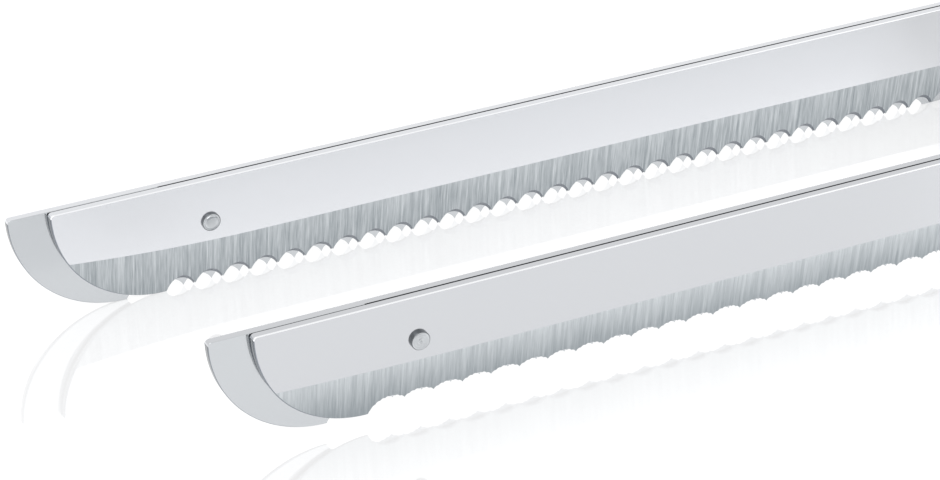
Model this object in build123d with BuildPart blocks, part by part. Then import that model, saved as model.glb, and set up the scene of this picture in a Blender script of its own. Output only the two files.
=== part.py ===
from build123d import *
import math
import os

os.makedirs("parts", exist_ok=True)

# An electric carving knife with its carving blades fitted and its bread blades standing beside it.
# The origin is the centre of the base pad's lower face, on the table. +X runs from the blade tips
# to the rear of the handle and +Z is up. The near side is -Y and the far side is +Y.
near_side = -1
far_side = 1

# Blades
blade_height = 20.0
blade_length = 188.0
blade_thickness = 1.4
blade_gap = 0.15
blade_table_clearance = 2.0
tip_reach = 19.5
tip_corner_radius = 0.7
bevel_height = 8.3
edge_thickness = 0.4
tooth_pitch = 5.15
plain_heel_length = 7.0
bread_first_tooth = 19.9
bread_scallop_depth = 1.65
bread_hollow_shift = 0.55
bread_hollow_rise = 0.5
carving_first_valley = 23.3
carving_scallop_radius = 4.2
carving_scallop_depth = 2.4
micro_teeth = 6
micro_tooth_depth = 0.2
tang_height = 8.0
tang_rise = 6.2
tang_corner_radius = 1.2
heel_corner_radius = 2.4
stroke_lead = 6.9
heel_reach = 9.45

# Rivet that keeps the two blades of a pair side by side
rivet_reach = 28.2
rivet_drop = 7.95
rivet_radius = 1.2
rivet_head_radius = 1.65
rivet_head_height = 0.65
rivet_tail_radius = 1.8
rivet_tail_height = 0.5
rivet_dimple_radius = 0.45
rivet_dimple_depth = 0.25
rivet_slot_clearance = 0.15

# Spare pair on the table
spare_distance = 53.1
spare_setback = -13.4

# Blade shanks
shank_setback = 18.1
shank_length = 34.0
shank_width = 5.0
shank_step_width = 3.9
shank_step_length = 7.0
shank_corner_radius = 0.8
pocket_margin = 0.1
peg_radius = 1.3
peg_spacing = 15.0
peg_clearance = 0.05
notch_depth = 0.9
notch_height = 5.0
notch_front_clearance = 0.85
notch_rear_clearance = 0.15

# Handle
base_pad_width = 34.0
base_pad_thickness = 1.5
base_pad_corner_radius = 9.0
nose_overhang = 18.0
rear_overhang = 13.0
handle_length = 207.0
handle_height = 108.0
handle_width = 43.0
rim_radius = 11.0
wall = 2.6
trim_depth = 8.0
handle_outline_shares = [(0, 0), (0, 0.37), (0.27, 1), (0.925, 0.982), (1, 0.44), (0.97, 0)]
handle_corner_radii = [14.0, 16.0, 30.0, 30.0, 70.0, 20.0]
front_bar_width = 33.5
front_bar_top_width = 34.25
rear_bar_width = 31.0
grip_bar_height = 26.0
gap_floor = 52.0
gap_rear_slant = 4.0
gap_corner_share = 0.43

# Cooling slots in both shells
vent_setback = 126.0
vent_count = 7
vent_spacing = 5.2
vent_width = 2.2
vent_height = 17.0
vent_axis_height = 30.0

# Soft grip pad, let into the top of the handle
grip_pad_thickness = 1.3
grip_pad_front_inset = 4.0
grip_pad_rear_inset = 37.0
grip_pad_drop = 14.0
grip_pad_corner_radius = 6.0
grip_ridge_count = 9
grip_ridge_spacing = 7.0
grip_ridge_width = 2.0
grip_ridge_depth = 0.5

# Clearances
static_clearance = 0.1
running_clearance = 0.05
sliding_clearance = 0.25
overrun = 2.0

# Collar round the blades, in the nose
collar_wall = 2.5
collar_corner_radius = 3.0
collar_reach = 2.0
collar_length = 6.3
collar_ear_drop = 2.83
collar_ear_width = 24.0
collar_ear_height = 8.5
collar_ear_length = 1.5
collar_opening_clearance = 0.5

# Worm gear
tooth_foot_share = 1.25
gear_module = 1.0
wheel_teeth = 20
pressure_angle = 20
wheel_width = 5.0
wheel_hub_radius = 5.0
wheel_hub_half_width = 5.7
worm_pitch_radius = 4.5
worm_turns = 8
worm_core_clearance = 0.3
mesh_backlash = 0.36
wheel_setback = 74.0
wheel_axis_height = 16.0
axle_radius = 1.5
axle_length = 28.0

# Eccentric cams and the drive bars that they push
cam_throw = 4.0
cam_radius = 6.5
cam_thickness = 3.8
yoke_clearance = 0.4
yoke_leg = 3.0
yoke_top = 3.0
bar_thickness = 3.6
bar_inner_offset = 6.0
arm_height = 9.0
socket_wall = 1.7
socket_lip_offset = 1.8
socket_clearance = 0.3
socket_setback = 10.5
socket_end_setback = 48.0
socket_end_clearance = 0.5

# Blade latches, one on each drive bar
latch_pivot_setback = 32.0
latch_hook_setback = 7.5
latch_tail_length = 10.05
latch_body_offset = 11.1
latch_thickness = 1.3
latch_height = 4.0
latch_hook_length = 1.7
latch_hook_inset = 0.2
latch_bump_length = 1.6
latch_bump_height = 1.1
latch_eye_radius = 1.3
latch_pin_radius = 0.8
latch_pin_length = 8.0
latch_slot_clearance = 0.3
latch_lug_thickness = 1.8

# Release buttons
release_pad_length = 7.8
release_pad_height = 8.0
release_pad_thickness = 1.4
release_pad_gap = 0.9
release_stem_radius = 2.4
release_flange_radius = 7.2
release_flange_thickness = 1.2
release_cap_radius = 5.6
release_cap_height = 1.8
release_cap_fillet = 0.9
release_spring_radius = 6.7
release_spring_wire = 0.45
release_spring_turns = 2
release_ear_thickness = 1.0
release_ear_length = 18.0
release_ear_height = 15.0
release_window_clearance = 0.4
button_clearance = 0.35

# Chassis that carries the gears
chassis_front_offset = 21.0
chassis_rear_offset = 22.0
chassis_wall = 5.0
chassis_plate = 3.7
chassis_plate_offset = 10.6
chassis_plate_height = 22.0
chassis_wall_height = 34.5
guide_setback = 14.5
guide_thickness = 5.0
guide_width = 30.0
guide_height = 18.0
chassis_base = 4.6
chassis_groove_depth = 1.0
chassis_groove_clearance = 0.1

# Motor
shaft_radius = 1.6
bearing_radius = 4.0
bearing_length = 5.0
motor_radius = 16.5
motor_length = 46.0
motor_wall = 1.5
motor_boss_radius = 6.0
motor_boss_length = 3.0
magnet_gap = 0.4
magnet_length = 34.0
magnet_setback = 6.0
magnet_angle = 140
armature_radius = 10.6
armature_length = 24.0
armature_setback = 12.0
armature_slots = 7
slot_width = 2.6
slot_depth = 5.2
winding_end_length = 5.0
winding_clearance = 0.15
commutator_radius = 4.2
commutator_length = 10.0
commutator_setback = 44.0
commutator_bars = 14
commutator_cut = 0.3
end_cap_length = 10.0
end_cap_boss_length = 5.0
end_cap_wall = 1.5
brush_width = 3.2
brush_height = 4.2
brush_length = 6.0
brush_setback = 50.0
brush_gap = 0.3
brush_holder_wall = 1.0
terminal_length = 2.4
terminal_width = 2.4
terminal_height = 1.6
terminal_rise = 14.0
brush_spring_radius = 1.3
brush_spring_wire = 0.4
brush_spring_turns = 4
fan_length = 6.0
fan_radius = 14.5
fan_hub_radius = 4.2
fan_root_radius = 3.2
fan_blade_reach = 13.9
fan_plate = 1.2
fan_blades = 9
fan_blade_thickness = 1.2
fan_gap = 2.0
shaft_overhang = 2.0
shaft_tail_setback = 167.0
rib_thickness = 2.2
motor_rib_setbacks = [8.0, 34.0]
motor_screw_radius = 1.25
motor_screw_circle = 11.5
motor_screw_length = 6.0
motor_screw_head_radius = 2.3
motor_screw_head_height = 1.5

# Mains parts in the rear of the handle
inlet_axis_height = 16.0
inlet_rear_inset = 4.6
inlet_width = 19.0
inlet_height = 12.0
inlet_length = 20.0
inlet_flange_width = 23.0
inlet_flange_height = 16.0
inlet_flange_thickness = 1.6
inlet_flange_setback = 4.4
inlet_cavity_width = 14.6
inlet_cavity_height = 7.2
inlet_cavity_depth = 13.0
inlet_corner_radius = 2.0
inlet_cavity_radius = 2.4
inlet_pin_radius = 1.2
inlet_pin_spacing = 8.6
inlet_pin_recess = 2.0
inlet_pin_tail = 3.0
board_length = 15.0
board_height = 26.0
board_thickness = 1.6
board_rear_inset = 27.0
board_base_height = 50.0
board_rib_thickness = 2.0
board_post_radius = 0.8
board_post_reach = 7.0
board_post_inset = 2.5
board_post_middle = 10.0
bridge_size = 8.0
bridge_thickness = 4.0
capacitor_radius = 4.0
capacitor_length = 9.0
lead_radius = 0.8
switch_lead_bends = 3
lead_bend_radius = 3.0
lead_offset = 4.3
switch_lead_offset = 5.4
inlet_lead_rise = 22.0
motor_lead_inset = 6.0
switch_lead_fall = 2.5

# Trigger
trigger_front_inset = 12.5
trigger_swell_share = 0.25
trigger_nose_share = 0.2
trigger_length = 38.0
trigger_width = 14.0
trigger_drop = 5.5
trigger_rise = 9.0
trigger_rear_drop = 3.4
trigger_edge_radius = 1.6
trigger_lip_width = 2.4
trigger_lip_thickness = 1.6
trigger_lip_length = 26.0
slot_overcut = 0.25
trigger_slot_clearance = 0.4
trigger_rear_clearance = 1.7
trigger_pivot_rise = 6.5
trigger_pivot_inset = 3.5
trigger_pin_radius = 1.4
trigger_pin_length = 25.0
trigger_boss_radius = 3.4
trigger_post_radius = 1.9
trigger_post_height = 2.0
trigger_spring_radius = 3.0
trigger_spring_wire = 0.6
trigger_spring_turns = 6
trigger_spring_length = 10.0
trigger_spring_inset = 6.0
trigger_spring_boss_radius = 3.9

# Switch above the trigger
switch_length = 16.0
switch_plate_thickness = 2.0
switch_notch_height = 3.0
switch_width = 8.0
switch_height = 8.0
switch_front_inset = 30.0
switch_drop = 12.4
switch_tab_length = 2.2
switch_tab_height = 2.4
switch_tab_rise = 2.4
switch_terminal_length = 2.0
switch_terminal_rise = 7.0
plunger_rounding = 0.5
plunger_radius = 1.3
plunger_length = 8.0
plunger_gap = 0.3
plunger_bore_depth = 6.2

# Lock button on the near side of the grip
lock_lead = 2.0
lock_drop = 16.6
lock_cap_radius = 5.0
lock_cap_height = 1.4
lock_cap_fillet = 0.7
lock_flange_radius = 6.2
lock_flange_thickness = 1.2
lock_flange_inset = 3.4
lock_boss_radius = 7.0
lock_stem_radius = 2.2
lock_stem_length = 8.6
lock_spring_radius = 3.6
lock_spring_wire = 0.5
lock_spring_turns = 4
lock_spring_length = 5.2
lock_post_radius = 4.6
lock_post_depth = 7.0

# Screws that hold the two shells together
screw_radius = 1.5
screw_head_radius = 2.8
screw_head_height = 2.0
screw_length = 24.0
screw_sink = 5.0
screw_slot_width = 0.7
screw_cross_share = 0.67
screw_slot_depth = 0.8
boss_radius = 4.6
screw_place_shares = [(0.07, 0.285), (0.222, 0.62), (0.9, 0.84), (0.93, 0.4), (0.819, 0.08)]

# Sizes worked out from those above
half_width = handle_width / 2
inner_half_width = half_width - wall
base_length = handle_length - nose_overhang - rear_overhang
nose_x = -(base_length / 2 + nose_overhang)
base_top = base_pad_thickness
outline_bottom = base_top - trim_depth
handle_rear_x = nose_x + handle_length
handle_outline = [(nose_x + along * handle_length, outline_bottom + up * (handle_height - outline_bottom))
                  for along, up in handle_outline_shares]
slope_low, slope_top = handle_outline[1:3]
slope_lean = (slope_top[0] - slope_low[0]) / (slope_top[1] - slope_low[1])
gap_ceiling = handle_height - grip_bar_height
gap_front_x = slope_low[0] + slope_lean * (gap_floor - slope_low[1]) + front_bar_width
gap_top_x = slope_low[0] + slope_lean * (gap_ceiling - slope_low[1]) + front_bar_top_width
gap_rear_x = handle_rear_x - rear_bar_width
gap_corner_radius = gap_corner_share * (gap_ceiling - gap_floor)
grip_pad_front = gap_top_x + grip_pad_front_inset
grip_pad_rear = handle_rear_x - grip_pad_rear_inset
grip_pad_middle = (grip_pad_front + grip_pad_rear) / 2

pair_half_width = blade_gap / 2 + blade_thickness
heel_neutral_x = nose_x - heel_reach
near_shift = stroke_lead / 2
far_shift = -stroke_lead / 2
blade_bottom_z = blade_table_clearance
tang_bottom_z = blade_bottom_z + tang_rise
tang_top_z = tang_bottom_z + tang_height
tang_mid_z = (tang_bottom_z + tang_top_z) / 2
shank_start = heel_neutral_x + shank_setback
shank_end = shank_start + shank_length

wheel_x = nose_x + wheel_setback
wheel_z = wheel_axis_height
wheel_pitch_radius = gear_module * wheel_teeth / 2
wheel_tip_radius = wheel_pitch_radius + gear_module
wheel_root_radius = wheel_pitch_radius - tooth_foot_share * gear_module
shaft_z = wheel_z + wheel_pitch_radius + worm_pitch_radius
worm_lead = math.pi * gear_module
cam_phase = math.degrees(math.acos(stroke_lead / 2 / cam_throw))
chassis_front_x = wheel_x - chassis_front_offset
chassis_rear_x = wheel_x + chassis_rear_offset
motor_front_x = chassis_rear_x
motor_rear_x = motor_front_x + motor_length
end_cap_rear_x = motor_rear_x + end_cap_length
bar_outer_offset = bar_inner_offset + bar_thickness
socket_inner_half_height = tang_height / 2 + socket_clearance
socket_outer_half_height = socket_inner_half_height + socket_wall
latch_x = nose_x + latch_pivot_setback
release_x = latch_x + latch_tail_length - latch_bump_length / 2
latch_outer = latch_body_offset + latch_thickness
pad_face = latch_outer + latch_bump_height + release_pad_gap
button_wall = inner_half_width - static_clearance


def at_y(y):
    """Drawing plane at a given Y, with X to the right and Z up."""
    return Plane.XZ.offset(-y)


def at_x(x):
    """Drawing plane at a given X, with Y to the right and Z up."""
    return Plane.YZ.offset(x)


def span_box(x_span, y_span, z_span, mode=Mode.ADD):
    """Box between two X values, two Y values and two Z values."""
    spans = (x_span, y_span, z_span)
    with Locations(tuple(sum(span) / 2 for span in spans)):
        Box(*(abs(span[1] - span[0]) for span in spans), mode=mode)


def rod_x(y, z, radius, x_span, mode=Mode.ADD):
    """Round bar along X between two X values."""
    with Locations((sum(x_span) / 2, y, z)):
        Cylinder(radius, abs(x_span[1] - x_span[0]), rotation=(0, 90, 0), mode=mode)


def rod_y(x, z, radius, y_span, mode=Mode.ADD):
    """Round bar along Y between two Y values."""
    with Locations((x, sum(y_span) / 2, z)):
        Cylinder(radius, abs(y_span[1] - y_span[0]), rotation=(90, 0, 0), mode=mode)


def rod_z(x, y, radius, z_span, mode=Mode.ADD):
    """Round bar along Z between two Z values."""
    with Locations((x, y, sum(z_span) / 2)):
        Cylinder(radius, abs(z_span[1] - z_span[0]), mode=mode)


def save(piece, name):
    """Label a finished piece and write its STEP file."""
    piece.part.label = name
    export_step(piece.part, f"parts/{name}.step")


def coil(radius, wire, turns, length, seat, direction):
    """Round-wire compression spring that stands on a seat point and runs along a direction."""
    start = Vector(*seat) + Vector(*direction) * (wire / 2)
    with BuildPart() as spring:
        with BuildLine() as path:
            Helix(pitch=(length - wire) / turns, height=length - wire, radius=radius,
                  center=start, direction=direction)
        with BuildSketch(Plane(origin=path.line @ 0, z_dir=path.line % 0)):
            Circle(wire / 2)
        sweep(path=path.line, is_frenet=True)
    return spring


def carving_edge(tip_x, edge_z):
    """Points of the micro-toothed edge: small teeth set along a row of shallow scallops."""
    first = tip_x + carving_first_valley
    last = tip_x + blade_length - plain_heel_length
    centre_z = edge_z + carving_scallop_depth - carving_scallop_radius
    step = tooth_pitch / micro_teeth
    lead_in = math.sqrt(carving_scallop_radius**2 - (edge_z - centre_z) ** 2)
    count = int((last - first) / step)
    reaches = [-lead_in] + [step * (i - micro_teeth // 2 - 1) for i in range(count)]
    points = []
    for reach in reaches:
        nearest = max(0, round(reach / tooth_pitch)) * tooth_pitch
        rise = math.sqrt(carving_scallop_radius**2 - (reach - nearest) ** 2)
        points.append((first + reach, centre_z + rise))
    return points


def blade(side, tip_x, top_z, mid_y, toothing):
    """One blade: quarter-round tip, ground bevel, toothed edge and a narrow tang at the heel."""
    edge_z = top_z - blade_height
    heel_x = tip_x + blade_length
    tang_low = edge_z + tang_rise
    tang_high = tang_low + tang_height
    tang_end = heel_x + shank_setback + shank_length
    inner_y = mid_y + side * blade_gap / 2
    outer_y = mid_y + side * pair_half_width
    with BuildPart() as steel:
        with BuildSketch(at_y(inner_y)):
            with BuildLine():
                Line((tip_x, top_z), (heel_x, top_z))
                Line((heel_x, top_z), (heel_x, tang_high))
                Line((heel_x, tang_high), (tang_end, tang_high))
                Line((tang_end, tang_high), (tang_end, tang_low))
                Line((tang_end, tang_low), (heel_x, tang_low))
                Line((heel_x, tang_low), (heel_x, edge_z))
                Line((heel_x, edge_z), (tip_x + tip_reach, edge_z))
                EllipticalCenterArc((tip_x + tip_reach, top_z), tip_reach, blade_height,
                                    start_angle=180, arc_size=90)
            make_face()
        extrude(amount=blade_thickness, dir=(0, side, 0))
        corners = [(tip_x, top_z, tip_corner_radius), (heel_x, top_z, heel_corner_radius),
                   (heel_x, edge_z, heel_corner_radius), (tang_end, tang_high, tang_corner_radius),
                   (tang_end, tang_low, tang_corner_radius)]
        for corner_x, corner_z, radius in corners:
            across_edges = steel.edges().filter_by(Axis.Y)
            fillet(across_edges.sort_by_distance((corner_x, (inner_y + outer_y) / 2, corner_z))[:1], radius)
        with BuildSketch(at_x(tip_x - overrun)):
            with BuildLine():
                Polyline((outer_y, edge_z + bevel_height), (outer_y, edge_z - overrun),
                         (inner_y + side * edge_thickness, edge_z - overrun),
                         (inner_y + side * edge_thickness, edge_z), close=True)
            make_face()
        extrude(amount=blade_length + overrun, mode=Mode.SUBTRACT)
        with BuildSketch(at_y(inner_y - side * blade_gap / 2)):
            if toothing == "carving":
                points = carving_edge(tip_x, edge_z)
                low = edge_z - overrun
                with BuildLine():
                    for start, end in zip(points, points[1:]):
                        rise = micro_tooth_depth * min(1, (end[0] - start[0]) * micro_teeth / tooth_pitch)
                        middle = ((start[0] + end[0]) / 2, (start[1] + end[1]) / 2 + rise)
                        ThreePointArc(start, middle, end)
                    Polyline(points[-1], (points[-1][0], low), (points[0][0], low), points[0])
                make_face()
            else:
                half = tooth_pitch / 2
                radius = (half**2 + bread_scallop_depth**2) / (2 * bread_scallop_depth)
                count = int((blade_length - plain_heel_length - bread_first_tooth) / tooth_pitch)
                places = [(tip_x + bread_first_tooth + tooth_pitch * (i + 0.5),
                           edge_z + bread_scallop_depth - radius) for i in range(count)]
                with Locations(places):
                    Circle(radius)
        if toothing == "carving":
            extrude(amount=blade_thickness + blade_gap, dir=(0, side, 0), mode=Mode.SUBTRACT)
        else:
            slope = (bread_hollow_shift, side * blade_thickness, bread_hollow_rise)
            extrude(amount=blade_thickness + blade_gap, dir=slope, mode=Mode.SUBTRACT)
        rivet_z = top_z - rivet_drop
        across = (inner_y - side * blade_gap / 2, outer_y + side * overrun)
        if side == near_side:
            rod_y(tip_x + rivet_reach, rivet_z, rivet_radius, across, Mode.SUBTRACT)
        else:
            slot_height = 2 * (rivet_radius + rivet_slot_clearance)
            slot_length = 2 * stroke_lead + slot_height + 2 * rivet_slot_clearance
            with BuildSketch(at_y(across[0])):
                with Locations((tip_x + rivet_reach, rivet_z)):
                    SlotOverall(slot_length, slot_height)
            extrude(amount=blade_thickness + blade_gap, dir=(0, side, 0), mode=Mode.SUBTRACT)
        peg_mid = heel_x + shank_setback + shank_length / 2
        for peg_x in (peg_mid - peg_spacing / 2, peg_mid + peg_spacing / 2):
            rod_y(peg_x, (tang_low + tang_high) / 2, peg_radius + peg_clearance, across, Mode.SUBTRACT)
    return steel


def rivet(tip_x, top_z, mid_y):
    """Headed rivet: fast in the near blade, and running in the far blade's slot."""
    x = tip_x + rivet_reach
    z = top_z - rivet_drop
    near_face = mid_y - pair_half_width
    tail_face = mid_y + pair_half_width + static_clearance
    with BuildPart() as pin:
        rod_y(x, z, rivet_radius, (near_face, tail_face))
        rod_y(x, z, rivet_head_radius, (near_face - rivet_head_height, near_face))
        rim = pin.faces().sort_by(Axis.Y)[0].edges()
        fillet(rim, rivet_head_height / 2)
        rod_y(x, z, rivet_tail_radius, (tail_face, tail_face + rivet_tail_height))
        front = near_face - rivet_head_height
        rod_y(x, z, rivet_dimple_radius, (front - overrun, front + rivet_dimple_depth), Mode.SUBTRACT)
    return pin


def shank(side, heel_x, top_z, mid_y):
    """Moulded block on the outer face of the tang, with a latch notch and a thumb tab."""
    low = top_z - blade_height + tang_rise
    high = low + tang_height
    start = heel_x + shank_setback
    end = start + shank_length
    inner_y = mid_y + side * pair_half_width
    outer_y = inner_y + side * shank_width
    step_y = inner_y + side * shank_step_width
    with BuildPart() as block:
        with BuildSketch(at_y(inner_y)):
            with Locations(((start + end) / 2, (low + high) / 2)):
                RectangleRounded(shank_length, tang_height, shank_corner_radius)
        extrude(amount=shank_width, dir=(0, side, 0))
        span_box((end - shank_step_length, end + overrun), (step_y, outer_y + side * overrun),
                 (low - overrun, high + overrun), Mode.SUBTRACT)
        hook_x = start - shank_start + latch_x - latch_hook_setback
        notch_span = (hook_x - notch_front_clearance, hook_x + latch_hook_length + notch_rear_clearance)
        span_box(notch_span,
                 (outer_y - side * notch_depth, outer_y + side * overrun),
                 ((low + high - notch_height) / 2, (low + high + notch_height) / 2), Mode.SUBTRACT)
        peg_mid = (start + end) / 2
        for peg_x in (peg_mid - peg_spacing / 2, peg_mid + peg_spacing / 2):
            rod_y(peg_x, (low + high) / 2, peg_radius, (inner_y, inner_y - side * blade_thickness))
    return block


# Carving pair in the handle
near_heel_x = heel_neutral_x + near_shift
far_heel_x = heel_neutral_x + far_shift
near_tip_x = near_heel_x - blade_length
far_tip_x = far_heel_x - blade_length
carving_top_z = blade_bottom_z + blade_height
carving_blade_near = blade(near_side, near_tip_x, carving_top_z, 0, "carving")
save(carving_blade_near, "carving_blade_near")
carving_blade_far = blade(far_side, far_tip_x, carving_top_z, 0, "carving")
save(carving_blade_far, "carving_blade_far")
carving_rivet = rivet(near_tip_x, carving_top_z, 0)
save(carving_rivet, "carving_rivet")
carving_shank_near = shank(near_side, near_heel_x, carving_top_z, 0)
save(carving_shank_near, "carving_shank_near")
carving_shank_far = shank(far_side, far_heel_x, carving_top_z, 0)
save(carving_shank_far, "carving_shank_far")

# Bread pair standing on the table behind the knife
bread_near_tip_x = near_tip_x + spare_setback
bread_far_tip_x = bread_near_tip_x - stroke_lead
bread_top_z = blade_height
bread_blade_near = blade(near_side, bread_near_tip_x, bread_top_z, spare_distance, "bread")
save(bread_blade_near, "bread_blade_near")
bread_blade_far = blade(far_side, bread_far_tip_x, bread_top_z, spare_distance, "bread")
save(bread_blade_far, "bread_blade_far")
bread_rivet = rivet(bread_near_tip_x, bread_top_z, spare_distance)
save(bread_rivet, "bread_rivet")
bread_shank_near = shank(near_side, bread_near_tip_x + blade_length, bread_top_z, spare_distance)
save(bread_shank_near, "bread_shank_near")
bread_shank_far = shank(far_side, bread_far_tip_x + blade_length, bread_top_z, spare_distance)
save(bread_shank_far, "bread_shank_far")


def handle_form(side, inset):
    """One half of the handle's rounded form, with its finger gap, drawn in all round by an inset."""
    gap = [(gap_front_x, gap_floor), (gap_top_x, gap_ceiling),
           (gap_rear_x - gap_rear_slant, gap_ceiling), (gap_rear_x, gap_floor)]
    with BuildPart() as form:
        with BuildSketch(Plane.XZ):
            with BuildLine():
                FilletPolyline(*handle_outline, radius=handle_corner_radii, close=True)
            make_face()
            if inset:
                offset(amount=-inset)
            with BuildSketch(Plane.XZ, mode=Mode.SUBTRACT):
                with BuildLine():
                    FilletPolyline(*gap, radius=gap_corner_radius, close=True)
                make_face()
                if inset:
                    offset(amount=inset)
        extrude(amount=half_width - inset, dir=(0, side, 0))
        side_face = form.faces().sort_by(Axis.Y)[0 if side == near_side else -1]
        fillet(side_face.edges(), radius=rim_radius - inset)
        split(bisect_by=Plane.XY.offset(base_top + inset), keep=Keep.TOP)
    return form


def pad_region(side):
    """Block that bounds the soft pad on one side of the handle."""
    with BuildPart() as region:
        with BuildSketch(Plane.XZ):
            with Locations((grip_pad_middle, handle_height)):
                RectangleRounded(grip_pad_rear - grip_pad_front, 2 * grip_pad_drop, grip_pad_corner_radius)
        extrude(amount=half_width + overrun, dir=(0, side, 0))
    return region


# Handle forms shared by the shells and the pieces that fit them
near_outer = handle_form(near_side, 0)
far_outer = handle_form(far_side, 0)
near_inner = handle_form(near_side, wall)
far_inner = handle_form(far_side, wall)
outer_forms = {near_side: near_outer, far_side: far_outer}
inner_forms = {near_side: near_inner, far_side: far_inner}

# Soft pad over the top of the grip
pad_halves = {}
for side in (near_side, far_side):
    with BuildPart() as pad_half:
        add(outer_forms[side].part)
        add(handle_form(side, grip_pad_thickness).part, mode=Mode.SUBTRACT)
        add(pad_region(side).part, mode=Mode.INTERSECT)
    pad_halves[side] = pad_half
with BuildPart() as grip_pad:
    add(pad_halves[near_side].part)
    add(pad_halves[far_side].part)
    for i in range(grip_ridge_count):
        ridge_x = grip_pad_middle + grip_ridge_spacing * (i - (grip_ridge_count - 1) / 2)
        top = handle_height - grip_ridge_depth
        span_box((ridge_x - grip_ridge_width / 2, ridge_x + grip_ridge_width / 2),
                 (-rim_radius, rim_radius), (top, handle_height + overrun), Mode.SUBTRACT)
save(grip_pad, "grip_pad")

# Base pad with the flat face that the knife rests on
with BuildPart() as base_pad:
    with BuildSketch(Plane.XY):
        RectangleRounded(base_length, base_pad_width, base_pad_corner_radius)
    extrude(amount=base_pad_thickness)
save(base_pad, "base_pad")

# Collar in the nose, with the opening that the blade shanks pass through
opening_half_width = pair_half_width + shank_width + collar_opening_clearance
opening_half_height = tang_height / 2 + collar_opening_clearance
collar_half_width = opening_half_width + collar_wall
collar_half_height = opening_half_height + collar_wall
collar_front_x = nose_x - collar_reach
collar_rear_x = collar_front_x + collar_length
collar_ear_low = tang_mid_z - collar_ear_drop
with BuildPart() as nose_collar:
    with BuildSketch(at_x(collar_front_x)):
        with Locations((0, tang_mid_z)):
            RectangleRounded(2 * collar_half_width, 2 * collar_half_height, collar_corner_radius)
    extrude(amount=collar_length)
    rim = nose_collar.faces().sort_by(Axis.X)[0].edges()
    fillet(rim, collar_ear_length / 2)
    span_box((collar_rear_x - collar_ear_length, collar_rear_x),
             (-collar_ear_width / 2, collar_ear_width / 2),
             (collar_ear_low, collar_ear_low + collar_ear_height))
    with BuildSketch(at_x(collar_front_x)):
        with Locations((0, tang_mid_z)):
            RectangleRounded(2 * opening_half_width, 2 * opening_half_height, shank_corner_radius)
    extrude(amount=collar_length, mode=Mode.SUBTRACT)
save(nose_collar, "nose_collar")


def drive_bar(side, shift):
    """Drive bar: a channel that holds one blade's shank, an arm, and a fork over the cam."""
    inner = side * bar_inner_offset
    outer = side * bar_outer_offset
    front = nose_x + socket_setback + shift
    rear = nose_x + socket_end_setback + shift
    fork_x = wheel_x + shift
    fork_half = cam_radius + yoke_clearance
    fork_top = wheel_z + cam_throw + cam_radius + yoke_clearance
    fork_low = wheel_z - 2 * cam_throw - yoke_leg / 2
    shank_outer = side * (pair_half_width + shank_width)
    pocket_outer = shank_outer + side * (socket_clearance + pocket_margin)
    pocket_end = shank_end + shift + socket_end_clearance
    pivot = latch_x + shift
    hook_front = pivot - latch_hook_setback
    with BuildPart() as bar:
        span_box((front, rear), (side * socket_lip_offset, outer),
                 (tang_mid_z - socket_outer_half_height, tang_mid_z + socket_outer_half_height))
        span_box((front - overrun, pocket_end), (0, pocket_outer),
                 (tang_mid_z - socket_inner_half_height, tang_mid_z + socket_inner_half_height),
                 Mode.SUBTRACT)
        span_box((rear, fork_x), (inner, outer),
                 (tang_mid_z - arm_height / 2, tang_mid_z + arm_height / 2))
        span_box((fork_x - fork_half - yoke_leg, fork_x + fork_half + yoke_leg), (inner, outer),
                 (fork_low, fork_top + yoke_top))
        fork_corners = bar.edges().filter_by(Axis.Y).group_by(Axis.Z)[-1]
        fillet(fork_corners, yoke_leg)
        span_box((fork_x - fork_half, fork_x + fork_half), (0, outer + side * overrun),
                 (fork_low - overrun, fork_top), Mode.SUBTRACT)
        span_box((hook_front - notch_front_clearance - latch_slot_clearance,
                  hook_front + latch_hook_length + latch_slot_clearance),
                 (pocket_outer - side * overrun, outer + side * overrun),
                 (tang_mid_z - latch_height / 2 - latch_slot_clearance,
                  tang_mid_z + latch_height / 2 + latch_slot_clearance), Mode.SUBTRACT)
        pin_y = side * (latch_body_offset + latch_thickness / 2)
        lug_outer = pin_y + side * latch_eye_radius
        for up in (-1, 1):
            lug_low = tang_mid_z + up * (latch_height / 2 + latch_slot_clearance)
            lug_high = lug_low + up * latch_lug_thickness
            span_box((pivot - latch_eye_radius - latch_slot_clearance,
                      pivot + latch_eye_radius + latch_slot_clearance),
                     (outer, lug_outer), (lug_low, lug_high))
            bore_span = (lug_low - up * latch_slot_clearance, lug_high + up * overrun)
            rod_z(pivot, pin_y, latch_pin_radius + running_clearance, bore_span, Mode.SUBTRACT)
    return bar


def latch(side, shift):
    """Latch lever: its hook holds the shank, and a release button pushes its tail in."""
    pivot = latch_x + shift
    inner = side * latch_body_offset
    outer = side * latch_outer
    pin_y = (inner + outer) / 2
    hook_tip = side * (pair_half_width + shank_width - notch_depth + latch_hook_inset)
    low = tang_mid_z - latch_height / 2
    high = tang_mid_z + latch_height / 2
    tail = pivot + latch_tail_length
    hook_front = pivot - latch_hook_setback
    with BuildPart() as lever:
        span_box((hook_front, tail), (inner, outer), (low, high))
        span_box((hook_front, hook_front + latch_hook_length), (hook_tip, outer), (low, high))
        span_box((tail - latch_bump_length, tail), (outer, outer + side * latch_bump_height),
                 (low, high))
        rod_z(pivot, pin_y, latch_eye_radius, (low, high))
        rod_z(pivot, pin_y, latch_pin_radius,
              (tang_mid_z - latch_pin_length / 2, tang_mid_z + latch_pin_length / 2))
    return lever


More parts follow.
